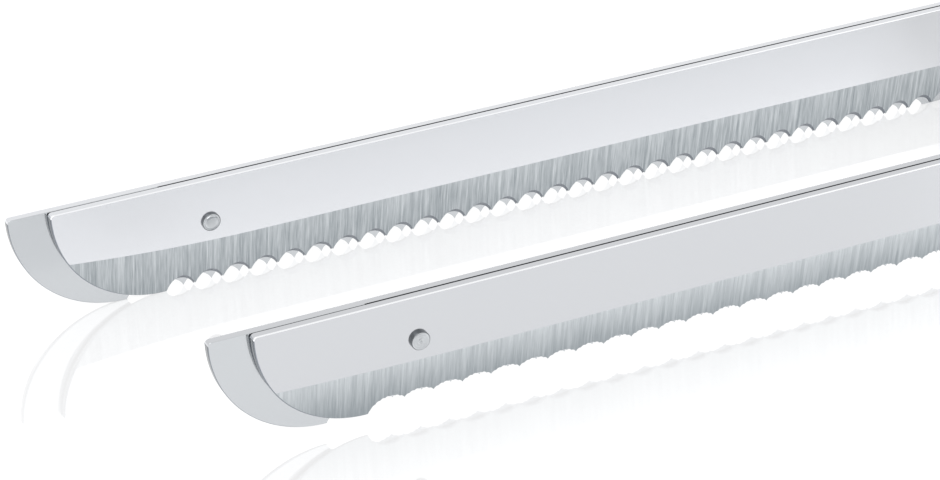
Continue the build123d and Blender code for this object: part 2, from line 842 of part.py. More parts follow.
def release_button(side):
    """Push button: cap through the shell, flange that stops it, stem and pad at the latch."""
    axis = (release_x, tang_mid_z)
    flange_in = button_wall - release_flange_thickness
    with BuildPart() as button:
        rod_y(*axis, release_cap_radius, (side * flange_in, side * (half_width + release_cap_height)))
        rim = button.faces().sort_by(Axis.Y)[0 if side == near_side else -1].edges()
        fillet(rim, release_cap_fillet)
        rod_y(*axis, release_flange_radius, (side * flange_in, side * button_wall))
        rod_y(*axis, release_stem_radius, (side * pad_face, side * flange_in))
        span_box((axis[0] - release_pad_length / 2, axis[0] + release_pad_length / 2),
                 (side * pad_face, side * (pad_face + release_pad_thickness)),
                 (axis[1] - release_pad_height / 2, axis[1] + release_pad_height / 2))
    return button


# Drive bars, latches and release buttons
driver_near = drive_bar(near_side, near_shift)
save(driver_near, "driver_near")
driver_far = drive_bar(far_side, far_shift)
save(driver_far, "driver_far")
latch_near = latch(near_side, near_shift)
save(latch_near, "latch_near")
latch_far = latch(far_side, far_shift)
save(latch_far, "latch_far")
release_button_near = release_button(near_side)
save(release_button_near, "release_button_near")
release_button_far = release_button(far_side)
save(release_button_far, "release_button_far")
ear_outer = chassis_plate_offset + chassis_plate
release_spring_span = button_wall - release_flange_thickness - ear_outer
release_spring_near = coil(release_spring_radius, release_spring_wire, release_spring_turns,
                           release_spring_span, (release_x, -ear_outer, tang_mid_z), (0, -1, 0))
save(release_spring_near, "release_spring_near")
with BuildPart() as release_spring_far:
    add(release_spring_near.part)
    mirror(about=Plane.XZ, mode=Mode.REPLACE)
save(release_spring_far, "release_spring_far")


def groove_ring(x, low, high, half):
    """Groove round a chassis wall, where a shell rib holds it."""
    width = rib_thickness + 2 * chassis_groove_clearance
    with BuildPart() as ring:
        span_box((x - width / 2, x + width / 2), (-half - overrun, half + overrun),
                 (low - overrun, high + overrun))
        span_box((x - width / 2, x + width / 2),
                 (-half + chassis_groove_depth, half - chassis_groove_depth),
                 (low + chassis_groove_depth, high - chassis_groove_depth), Mode.SUBTRACT)
    return ring


# Chassis: two walls, two side plates, and ears that carry the release springs
chassis_top = chassis_base + chassis_wall_height
plate_inner = chassis_plate_offset
plate_outer = ear_outer
wall_centres = [chassis_front_x + chassis_wall / 2, chassis_rear_x - chassis_wall / 2]
arm_half = arm_height / 2 + sliding_clearance
with BuildPart() as gear_frame:
    for wall_x in wall_centres:
        span_box((wall_x - chassis_wall / 2, wall_x + chassis_wall / 2), (-plate_outer, plate_outer),
                 (chassis_base, chassis_top))
    for side in (near_side, far_side):
        span_box((wall_centres[0], wall_centres[1]), (side * plate_inner, side * plate_outer),
                 (chassis_base + chassis_groove_depth, chassis_base + chassis_plate_height))
        span_box((release_x - release_ear_length / 2, wall_centres[0]),
                 (side * (plate_outer - release_ear_thickness), side * plate_outer),
                 (tang_mid_z - release_ear_height / 2, tang_mid_z + release_ear_height / 2))
        window_half = release_pad_length / 2 + release_window_clearance
        window_rise = release_pad_height / 2 + release_window_clearance
        span_box((release_x - window_half, release_x + window_half),
                 (side * plate_inner, side * (plate_outer + overrun)),
                 (tang_mid_z - window_rise, tang_mid_z + window_rise), Mode.SUBTRACT)
        span_box((chassis_front_x - overrun, chassis_front_x + chassis_wall + overrun),
                 (side * (bar_inner_offset - sliding_clearance),
                  side * (bar_outer_offset + sliding_clearance)),
                 (tang_mid_z - arm_half, tang_mid_z + arm_half), Mode.SUBTRACT)
    rod_y(wheel_x, wheel_z, axle_radius, (-axle_length / 2, axle_length / 2), Mode.SUBTRACT)
    rod_x(0, shaft_z, bearing_radius, (chassis_front_x - overrun, wall_centres[0] + chassis_wall),
          Mode.SUBTRACT)
    rod_x(0, shaft_z, motor_boss_radius + static_clearance,
          (wall_centres[1] - chassis_wall, chassis_rear_x + overrun), Mode.SUBTRACT)
    for side in (near_side, far_side):
        rod_x(side * motor_screw_circle, shaft_z, motor_screw_radius + static_clearance,
              (chassis_rear_x - chassis_wall - overrun, chassis_rear_x + overrun), Mode.SUBTRACT)
    for wall_x in wall_centres:
        add(groove_ring(wall_x, chassis_base, chassis_top, plate_outer).part, mode=Mode.SUBTRACT)
save(gear_frame, "gear_frame")

# Guide that the front of the drive bars slides in
guide_x = nose_x + guide_setback
guide_low = chassis_base
guide_high = chassis_base + guide_height
guide_half = socket_outer_half_height + sliding_clearance
with BuildPart() as blade_guide:
    span_box((guide_x, guide_x + guide_thickness), (-guide_width / 2, guide_width / 2),
             (guide_low, guide_high))
    add(groove_ring(guide_x + guide_thickness / 2, guide_low, guide_high, guide_width / 2).part,
        mode=Mode.SUBTRACT)
    span_box((guide_x - overrun, guide_x + guide_thickness + overrun),
             (-bar_outer_offset - sliding_clearance, bar_outer_offset + sliding_clearance),
             (tang_mid_z - guide_half, tang_mid_z + guide_half), Mode.SUBTRACT)
save(blade_guide, "blade_guide")

# Axle, worm wheel and cams
with BuildPart() as wheel_axle:
    rod_y(wheel_x, wheel_z, axle_radius, (-axle_length / 2, axle_length / 2))
save(wheel_axle, "wheel_axle")


def wheel_profile(turn):
    """Outline points of the worm wheel, with involute flanks thinned for backlash."""
    base_radius = wheel_pitch_radius * math.cos(math.radians(pressure_angle))
    inv_pitch = math.tan(math.radians(pressure_angle)) - math.radians(pressure_angle)
    half_tooth = math.pi / (2 * wheel_teeth) - mesh_backlash / (4 * wheel_pitch_radius)
    flank_steps = 5
    flank = [(wheel_root_radius, half_tooth + inv_pitch)]
    for i in range(flank_steps):
        radius = base_radius + (wheel_tip_radius - base_radius) * i / (flank_steps - 1)
        pressure = math.acos(base_radius / radius)
        involute = math.tan(pressure) - pressure
        flank.append((radius, half_tooth + inv_pitch - involute))
    points = []
    for tooth in range(wheel_teeth):
        centre = turn + 2 * math.pi * tooth / wheel_teeth
        rising = [(radius, centre - spread) for radius, spread in flank]
        falling = [(radius, centre + spread) for radius, spread in reversed(flank)]
        for radius, angle in rising + falling:
            points.append((wheel_x + radius * math.cos(angle), wheel_z + radius * math.sin(angle)))
    return points


# The gap of the wheel at the top faces the worm; its teeth lean at the worm's lead angle
lean = math.atan(worm_lead / (2 * math.pi * worm_pitch_radius))
half_twist = wheel_width / 2 * math.tan(lean) / wheel_pitch_radius
with BuildPart() as worm_wheel:
    with BuildSketch(at_y(-wheel_width / 2)):
        with BuildLine():
            Polyline(*wheel_profile(math.pi / 2 + half_twist), close=True)
        make_face()
    with BuildSketch(at_y(wheel_width / 2)):
        with BuildLine():
            Polyline(*wheel_profile(math.pi / 2 - half_twist), close=True)
        make_face()
    loft(ruled=True)
    rod_y(wheel_x, wheel_z, wheel_hub_radius, (-wheel_hub_half_width, wheel_hub_half_width))
    rod_y(wheel_x, wheel_z, axle_radius + running_clearance,
          (-wheel_hub_half_width - overrun, wheel_hub_half_width + overrun), Mode.SUBTRACT)
save(worm_wheel, "worm_wheel")

with BuildPart() as eccentric_cams:
    for side, turn in ((near_side, cam_phase), (far_side, cam_phase + 180)):
        cam_x = wheel_x + cam_throw * math.cos(math.radians(turn))
        cam_z = wheel_z + cam_throw * math.sin(math.radians(turn))
        cam_span = (side * wheel_hub_half_width, side * (wheel_hub_half_width + cam_thickness))
        rod_y(cam_x, cam_z, cam_radius, cam_span)
        rod_y(wheel_x, wheel_z, axle_radius + running_clearance, cam_span, Mode.SUBTRACT)
save(eccentric_cams, "eccentric_cams")

# Motor shaft with the worm, the armature, the commutator and the fan
with BuildPart() as motor_shaft:
    rod_x(0, shaft_z, shaft_radius, (chassis_front_x - shaft_overhang, nose_x + shaft_tail_setback))
save(motor_shaft, "motor_shaft")

# The thread starts at the top, so an even number of turns sets a gap on the wheel's top tooth
worm_length = worm_turns * worm_lead
worm_start = wheel_x - worm_length / 2
worm_root_radius = worm_pitch_radius - gear_module - worm_core_clearance
worm_tip_radius = worm_pitch_radius + gear_module
flank_slope = math.tan(math.radians(pressure_angle))
thread_half = worm_lead / 4 - mesh_backlash / 4
thread_foot = thread_half + (worm_pitch_radius - worm_root_radius) * flank_slope
thread_crest = thread_half - (worm_tip_radius - worm_pitch_radius) * flank_slope
thread_sink = worm_core_clearance
with BuildPart() as worm:
    with BuildLine() as thread_path:
        Helix(pitch=worm_lead, height=worm_length, radius=worm_root_radius - thread_sink,
              center=(worm_start, 0, shaft_z), direction=(1, 0, 0))
    path_start = thread_path.line @ 0
    radial = path_start - Vector(path_start.X, 0, shaft_z)
    with BuildSketch(Plane(origin=path_start, x_dir=radial, z_dir=radial.cross(Vector(1, 0, 0)))):
        foot = thread_foot + thread_sink * flank_slope
        crest_rise = worm_tip_radius - worm_root_radius + thread_sink
        with BuildLine():
            Polyline((0, -foot), (crest_rise, -thread_crest), (crest_rise, thread_crest), (0, foot),
                     close=True)
        make_face()
    sweep(path=thread_path.line, is_frenet=True)
    rod_x(0, shaft_z, worm_root_radius, (worm_start - overrun, worm_start + worm_length + overrun))
    rod_x(0, shaft_z, shaft_radius, (worm_start - 2 * overrun, worm_start + worm_length + 2 * overrun),
          Mode.SUBTRACT)
save(worm, "worm")

armature_start = motor_front_x + armature_setback
armature_end = armature_start + armature_length
slot_floor = armature_radius - slot_depth
with BuildPart() as armature_core:
    rod_x(0, shaft_z, armature_radius, (armature_start, armature_end))
    with BuildSketch(at_x(armature_start)):
        with Locations((0, shaft_z)):
            with PolarLocations((slot_floor + armature_radius + overrun) / 2, armature_slots):
                Rectangle(armature_radius + overrun - slot_floor, slot_width)
    extrude(amount=armature_length, mode=Mode.SUBTRACT)
    rod_x(0, shaft_z, shaft_radius, (armature_start, armature_end), Mode.SUBTRACT)
save(armature_core, "armature_core")

winding_outer = armature_radius - slot_width / 2
with BuildPart() as armature_winding:
    for face_x, outward in ((armature_start, -1), (armature_end, 1)):
        rod_x(0, shaft_z, winding_outer, (face_x, face_x + outward * winding_end_length))
    ends = armature_winding.edges().filter_by(GeomType.CIRCLE)
    fillet(ends.group_by(Axis.X)[0] + ends.group_by(Axis.X)[-1], winding_end_length / 2)
    with BuildSketch(at_x(armature_start)):
        with Locations((0, shaft_z)):
            with PolarLocations((slot_floor + winding_outer + winding_clearance) / 2, armature_slots):
                Rectangle(winding_outer - slot_floor - winding_clearance,
                          slot_width - 2 * winding_clearance)
    extrude(amount=armature_length)
    rod_x(0, shaft_z, shaft_radius,
          (armature_start - winding_end_length, armature_end + winding_end_length), Mode.SUBTRACT)
save(armature_winding, "armature_winding")

commutator_start = motor_front_x + commutator_setback
with BuildPart() as commutator:
    rod_x(0, shaft_z, commutator_radius, (commutator_start, commutator_start + commutator_length))
    with BuildSketch(at_x(commutator_start)):
        with Locations((0, shaft_z)):
            with PolarLocations(commutator_radius, commutator_bars):
                Rectangle(2 * commutator_cut, commutator_cut)
    extrude(amount=commutator_length, mode=Mode.SUBTRACT)
    rod_x(0, shaft_z, shaft_radius, (commutator_start, commutator_start + commutator_length),
          Mode.SUBTRACT)
save(commutator, "commutator")

fan_x = motor_front_x + motor_length + end_cap_length + end_cap_boss_length + fan_gap
with BuildPart() as cooling_fan:
    rod_x(0, shaft_z, fan_radius, (fan_x, fan_x + fan_plate))
    with BuildSketch(at_x(fan_x)):
        with Locations((0, shaft_z)):
            with PolarLocations((fan_root_radius + fan_blade_reach) / 2, fan_blades):
                Rectangle(fan_blade_reach - fan_root_radius, fan_blade_thickness)
    extrude(amount=fan_length)
    rod_x(0, shaft_z, fan_hub_radius, (fan_x, fan_x + fan_length))
    rod_x(0, shaft_z, shaft_radius, (fan_x, fan_x + fan_length), Mode.SUBTRACT)
save(cooling_fan, "cooling_fan")

# Motor housing parts
boss_front_x = motor_front_x - motor_boss_length
with BuildPart() as motor_can:
    rod_x(0, shaft_z, motor_radius, (motor_front_x, motor_rear_x))
    fillet(motor_can.faces().sort_by(Axis.X)[0].edges(), motor_wall)
    rod_x(0, shaft_z, motor_boss_radius, (boss_front_x, motor_front_x))
    rod_x(0, shaft_z, motor_radius - motor_wall, (motor_front_x + motor_wall, motor_rear_x),
          Mode.SUBTRACT)
    rod_x(0, shaft_z, bearing_radius, (boss_front_x, motor_front_x + motor_wall), Mode.SUBTRACT)
    for side in (near_side, far_side):
        rod_x(side * motor_screw_circle, shaft_z, motor_screw_radius,
              (motor_front_x, motor_front_x + motor_wall), Mode.SUBTRACT)
save(motor_can, "motor_can")

magnet_outer = motor_radius - motor_wall
magnet_inner = armature_radius + magnet_gap
magnet_start = motor_front_x + magnet_setback
half_gap = math.radians(180 - magnet_angle) / 2
cut_reach = magnet_outer + overrun
with BuildPart() as motor_magnets:
    rod_x(0, shaft_z, magnet_outer, (magnet_start, magnet_start + magnet_length))
    rod_x(0, shaft_z, magnet_inner, (magnet_start, magnet_start + magnet_length), Mode.SUBTRACT)
    for side in (near_side, far_side):
        with BuildSketch(at_x(magnet_start)):
            with BuildLine():
                Polyline((0, shaft_z), (side * cut_reach, shaft_z - cut_reach * math.tan(half_gap)),
                         (side * cut_reach, shaft_z + cut_reach * math.tan(half_gap)), close=True)
            make_face()
        extrude(amount=magnet_length, mode=Mode.SUBTRACT)
save(motor_magnets, "motor_magnets")

brush_x = motor_front_x + brush_setback
brush_in = commutator_radius + brush_gap
brush_out = brush_in + brush_length
cap_inner = motor_radius - end_cap_wall
holder_width = brush_width / 2 + static_clearance
holder_height = brush_height / 2 + static_clearance
with BuildPart() as motor_end_cap:
    rod_x(0, shaft_z, motor_radius, (motor_rear_x, end_cap_rear_x))
    rod_x(0, shaft_z, cap_inner, (motor_rear_x, end_cap_rear_x - end_cap_wall), Mode.SUBTRACT)
    for side in (near_side, far_side):
        span_box((brush_x - holder_width - brush_holder_wall, end_cap_rear_x - end_cap_wall),
                 (side * (brush_in + brush_gap), side * cap_inner),
                 (shaft_z - holder_height - brush_holder_wall, shaft_z + holder_height + brush_holder_wall))
        span_box((brush_x - holder_width, brush_x + holder_width),
                 (side * brush_in, side * (cap_inner - brush_holder_wall)),
                 (shaft_z - holder_height, shaft_z + holder_height), Mode.SUBTRACT)
        span_box((end_cap_rear_x - end_cap_wall, end_cap_rear_x + terminal_length),
                 (side * lead_offset - terminal_width / 2, side * lead_offset + terminal_width / 2),
                 (shaft_z + terminal_rise, shaft_z + terminal_rise + terminal_height))
    rod_x(0, shaft_z, motor_boss_radius, (end_cap_rear_x, end_cap_rear_x + end_cap_boss_length))
    rod_x(0, shaft_z, bearing_radius,
          (end_cap_rear_x - end_cap_wall, end_cap_rear_x + end_cap_boss_length), Mode.SUBTRACT)
save(motor_end_cap, "motor_end_cap")

with BuildPart() as carbon_brushes:
    for side in (near_side, far_side):
        span_box((brush_x - brush_width / 2, brush_x + brush_width / 2),
                 (side * brush_in, side * brush_out),
                 (shaft_z - brush_height / 2, shaft_z + brush_height / 2))
save(carbon_brushes, "carbon_brushes")

brush_spring_span = cap_inner - brush_holder_wall - brush_out
with BuildPart() as brush_springs:
    for side in (near_side, far_side):
        add(coil(brush_spring_radius, brush_spring_wire, brush_spring_turns, brush_spring_span,
                 (brush_x, side * brush_out, shaft_z), (0, side, 0)).part)
save(brush_springs, "brush_springs")

bush_starts = [chassis_front_x, boss_front_x, end_cap_rear_x + end_cap_boss_length - bearing_length]
with BuildPart() as shaft_bushes:
    for start in bush_starts:
        length = motor_boss_length + motor_wall if start == boss_front_x else bearing_length
        rod_x(0, shaft_z, bearing_radius, (start, start + length))
        rod_x(0, shaft_z, shaft_radius + running_clearance, (start, start + length), Mode.SUBTRACT)
save(shaft_bushes, "shaft_bushes")

screw_head_x = chassis_rear_x - chassis_wall - motor_screw_head_height
with BuildPart() as motor_screws:
    for side in (near_side, far_side):
        y = side * motor_screw_circle
        rod_x(y, shaft_z, motor_screw_head_radius,
              (screw_head_x, screw_head_x + motor_screw_head_height))
        rod_x(y, shaft_z, motor_screw_radius,
              (screw_head_x, screw_head_x + motor_screw_head_height + motor_screw_length))
save(motor_screws, "motor_screws")

# Inlet for a mains cord, in the rear of the handle
inlet_z = inlet_axis_height
inlet_rear_x = handle_rear_x - inlet_rear_inset
inlet_front_x = inlet_rear_x - inlet_length
cavity_floor_x = inlet_rear_x - inlet_cavity_depth
with BuildPart() as cord_inlet:
    with BuildSketch(at_x(inlet_front_x)):
        with Locations((0, inlet_z)):
            RectangleRounded(inlet_width, inlet_height, inlet_corner_radius)
    extrude(amount=inlet_length)
    span_box((inlet_rear_x - inlet_flange_setback, inlet_rear_x - inlet_flange_setback
              + inlet_flange_thickness),
             (-inlet_flange_width / 2, inlet_flange_width / 2),
             (inlet_z - inlet_flange_height / 2, inlet_z + inlet_flange_height / 2))
    with BuildSketch(at_x(cavity_floor_x)):
        with Locations((0, inlet_z)):
            RectangleRounded(inlet_cavity_width, inlet_cavity_height, inlet_cavity_radius)
    extrude(amount=inlet_cavity_depth, mode=Mode.SUBTRACT)
    for side in (near_side, far_side):
        rod_x(side * inlet_pin_spacing / 2, inlet_z, inlet_pin_radius,
              (inlet_front_x, cavity_floor_x), Mode.SUBTRACT)
save(cord_inlet, "cord_inlet")

with BuildPart() as inlet_pins:
    for side in (near_side, far_side):
        rod_x(side * inlet_pin_spacing / 2, inlet_z, inlet_pin_radius,
              (inlet_front_x - inlet_pin_tail, inlet_rear_x - inlet_pin_recess))
    fillet(inlet_pins.faces().sort_by(Axis.X)[-2:].edges(), inlet_pin_radius / 2)
save(inlet_pins, "inlet_pins")

# Rectifier board in the rear pillar
board_x = handle_rear_x - board_rear_inset
board_span = (board_x, board_x + board_length)
board_top = board_base_height + board_height
post_in = (board_x + board_post_inset, board_base_height + board_post_inset)
post_motor = (board_x + board_post_inset, board_base_height + board_post_middle)
post_switch = (board_x + board_post_inset, board_top - board_post_inset)
with BuildPart() as rectifier_board:
    span_box(board_span, (-board_thickness / 2, board_thickness / 2), (board_base_height, board_top))
    for post_x, post_z in (post_in, post_motor, post_switch):
        rod_y(post_x, post_z, board_post_radius, (-board_post_reach, board_post_reach))
    bridge_x = board_span[1] - bridge_size / 2 - board_rib_thickness
    bridge_z = board_base_height + board_height / 2
    span_box((bridge_x - bridge_size / 2, bridge_x + bridge_size / 2),
             (-board_thickness / 2 - bridge_thickness, -board_thickness / 2),
             (bridge_z - bridge_size / 2, bridge_z + bridge_size / 2))
    capacitor_y = board_thickness / 2 + capacitor_radius
    rod_z(bridge_x, capacitor_y, capacitor_radius,
          (bridge_z - capacitor_length / 2, bridge_z + capacitor_length / 2))
    span_box((bridge_x - board_thickness, bridge_x + board_thickness), (0, capacitor_y),
             (bridge_z - capacitor_length / 2, bridge_z + capacitor_length / 2))
save(rectifier_board, "rectifier_board")

# Switch above the trigger
switch_x = gap_top_x + switch_front_inset
switch_low = handle_height - switch_drop
switch_span = (switch_x - switch_length / 2, switch_x + switch_length / 2)
terminal_z = switch_low + switch_terminal_rise
with BuildPart() as switch_body:
    span_box(switch_span, (-switch_width / 2, switch_width / 2),
             (switch_low, switch_low + switch_height))
    span_box((switch_span[0] - switch_tab_length, switch_span[1] + switch_tab_length),
             (-switch_width / 2, switch_width / 2),
             (switch_low + switch_tab_rise, switch_low + switch_tab_rise + switch_tab_height))
    span_box((switch_x - switch_terminal_length / 2, switch_x + switch_terminal_length / 2),
             (-switch_lead_offset - lead_radius, switch_lead_offset + lead_radius),
             (terminal_z - lead_radius, terminal_z + lead_radius))
    rod_z(switch_x, 0, plunger_radius + running_clearance,
          (switch_low - overrun, switch_low + plunger_bore_depth), Mode.SUBTRACT)
save(switch_body, "switch_body")

trigger_top_z = gap_ceiling + trigger_rise
plunger_low = trigger_top_z + plunger_gap
with BuildPart() as switch_plunger:
    rod_z(switch_x, 0, plunger_radius, (plunger_low, plunger_low + plunger_length))
    fillet(switch_plunger.faces().sort_by(Axis.Z)[0].edges(), plunger_rounding)
save(switch_plunger, "switch_plunger")

# Trigger under the grip
trigger_front = gap_top_x + trigger_front_inset
trigger_rear = trigger_front + trigger_length
trigger_low = gap_ceiling - trigger_drop
trigger_pivot_x = trigger_front + trigger_pivot_inset
trigger_pivot_z = gap_ceiling + trigger_pivot_rise
trigger_spring_x = trigger_rear - trigger_spring_inset
lip_low = gap_ceiling + wall + static_clearance
with BuildPart() as trigger:
    with BuildSketch(at_y(-trigger_width / 2)):
        with BuildLine():
            Line((trigger_front, trigger_low + trigger_rear_drop), (trigger_front, trigger_top_z))
            Line((trigger_front, trigger_top_z), (trigger_rear, trigger_top_z))
            Line((trigger_rear, trigger_top_z), (trigger_rear, gap_ceiling - trigger_rear_drop))
            Spline((trigger_rear, gap_ceiling - trigger_rear_drop),
                   (trigger_rear - trigger_length * trigger_swell_share, trigger_low + trigger_rear_drop / 2),
                   (trigger_rear - trigger_length / 2, trigger_low + trigger_rear_drop / 2),
                   (trigger_front + trigger_length * trigger_nose_share, trigger_low),
                   (trigger_front, trigger_low + trigger_rear_drop))
        make_face()
    extrude(amount=trigger_width, dir=(0, 1, 0))
    lower_edges = trigger.faces().sort_by(Axis.Z)[0].edges().filter_by(Axis.Y, reverse=True)
    fillet(lower_edges, trigger_edge_radius)
    span_box((trigger_rear - trigger_lip_length, trigger_rear),
             (-trigger_width / 2 - trigger_lip_width, trigger_width / 2 + trigger_lip_width),
             (lip_low, lip_low + trigger_lip_thickness))
    rod_z(trigger_spring_x, 0, trigger_post_radius,
          (trigger_top_z, trigger_top_z + trigger_post_height))
    rod_y(trigger_pivot_x, trigger_pivot_z, trigger_pin_radius + running_clearance,
          (-trigger_width, trigger_width), Mode.SUBTRACT)
save(trigger, "trigger")

with BuildPart() as trigger_pin:
    rod_y(trigger_pivot_x, trigger_pivot_z, trigger_pin_radius,
          (-trigger_pin_length / 2, trigger_pin_length / 2))
save(trigger_pin, "trigger_pin")

trigger_spring = coil(trigger_spring_radius, trigger_spring_wire, trigger_spring_turns,
                      trigger_spring_length, (trigger_spring_x, 0, trigger_top_z), (0, 0, 1))
save(trigger_spring, "trigger_spring")

# Lock button on the near side of the grip
lock_x = gap_top_x - lock_lead
lock_z = handle_height - lock_drop
lock_flange_out = button_wall - lock_flange_inset
lock_flange_in = lock_flange_out - lock_flange_thickness
lock_stem_end = lock_flange_in - lock_stem_length
lock_post_end = lock_flange_in - lock_spring_length
with BuildPart() as lock_button:
    rod_y(lock_x, lock_z, lock_cap_radius,
          (near_side * lock_flange_in, near_side * (half_width + lock_cap_height)))
    fillet(lock_button.faces().sort_by(Axis.Y)[0].edges(), lock_cap_fillet)
    rod_y(lock_x, lock_z, lock_flange_radius,
          (near_side * lock_flange_in, near_side * lock_flange_out))
    rod_y(lock_x, lock_z, lock_stem_radius, (near_side * lock_stem_end, near_side * lock_flange_in))
save(lock_button, "lock_button")

lock_spring = coil(lock_spring_radius, lock_spring_wire, lock_spring_turns, lock_spring_length,
                   (lock_x, near_side * lock_post_end, lock_z), (0, near_side, 0))
save(lock_spring, "lock_spring")

# Screws through both shells
screw_places = [(nose_x + along * handle_length, base_top + up * (handle_height - base_top))
                for along, up in screw_place_shares]
head_outer = near_side * (half_width - screw_sink)
head_inner = head_outer + screw_head_height
with BuildPart() as housing_screws:
    for x, z in screw_places:
        rod_y(x, z, screw_head_radius, (head_outer, head_inner))
        rod_y(x, z, screw_radius, (head_inner, head_inner + screw_length))
        for along, up in ((screw_head_radius, screw_slot_width), (screw_slot_width, screw_head_radius)):
            span_box((x - along * screw_cross_share, x + along * screw_cross_share),
                     (head_outer - overrun, head_outer + screw_slot_depth),
                     (z - up * screw_cross_share, z + up * screw_cross_share), Mode.SUBTRACT)
save(housing_screws, "housing_screws")


def lead(points, offset):
    """Insulated wire along a bent path that lies at one Y."""
    with BuildPart() as wire:
        with BuildLine(at_y(offset)) as path:
            FilletPolyline(*points, radius=lead_bend_radius)
        with BuildSketch(Plane(origin=path.line @ 0, z_dir=path.line % 0)):
            Circle(lead_radius)
        sweep(path=path.line)
    return wire


# Wires between the inlet, the board, the motor and the switch
tail_x = inlet_front_x - inlet_pin_tail
below_post = board_post_radius + static_clearance
lead_turn_x = tail_x - lead_bend_radius - static_clearance
inlet_points = [(tail_x - static_clearance, inlet_z), (lead_turn_x, inlet_z),
                (lead_turn_x, inlet_z + inlet_lead_rise),
                (post_in[0], post_in[1] - below_post - 2 * lead_bend_radius),
                (post_in[0], post_in[1] - below_post)]
terminal_rear = end_cap_rear_x + terminal_length + static_clearance
motor_lead_z = shaft_z + terminal_rise + terminal_height / 2
motor_points = [(terminal_rear, motor_lead_z), (gap_rear_x - motor_lead_inset, motor_lead_z),
                (post_motor[0] - below_post - lead_bend_radius, post_motor[1]),
                (post_motor[0] - below_post, post_motor[1])]
switch_points = [(switch_x + switch_terminal_length / 2 + static_clearance, terminal_z),
                 (gap_rear_x - motor_lead_inset, terminal_z - switch_lead_fall),
                 (post_switch[0], board_top + switch_lead_bends * lead_bend_radius),
                 (post_switch[0], post_switch[1] + below_post)]
for points, offset, name in ((inlet_points, lead_offset, "inlet_leads"),
                             (motor_points, lead_offset, "motor_leads"),
                             (switch_points, switch_lead_offset, "switch_leads")):
    with BuildPart() as lead_pair:
        for side in (near_side, far_side):
            add(lead(points, side * offset).part)
    save(lead_pair, name)


def inside_form(side, x_span, y_span, z_span):
    """Box that is trimmed to one shell's outer form, for a rib or a boss."""
    with BuildPart() as rib:
        add(outer_forms[side].part)
        span_box(x_span, y_span, z_span, Mode.INTERSECT)
    return rib


def screw_bosses(side):
    """Bosses for the shell screws, trimmed to the outer form."""
    with BuildPart() as bosses:
        for x, z in screw_places:
            rod_y(x, z, boss_radius, (0, side * half_width))
        add(outer_forms[side].part, mode=Mode.INTERSECT)
    return bosses


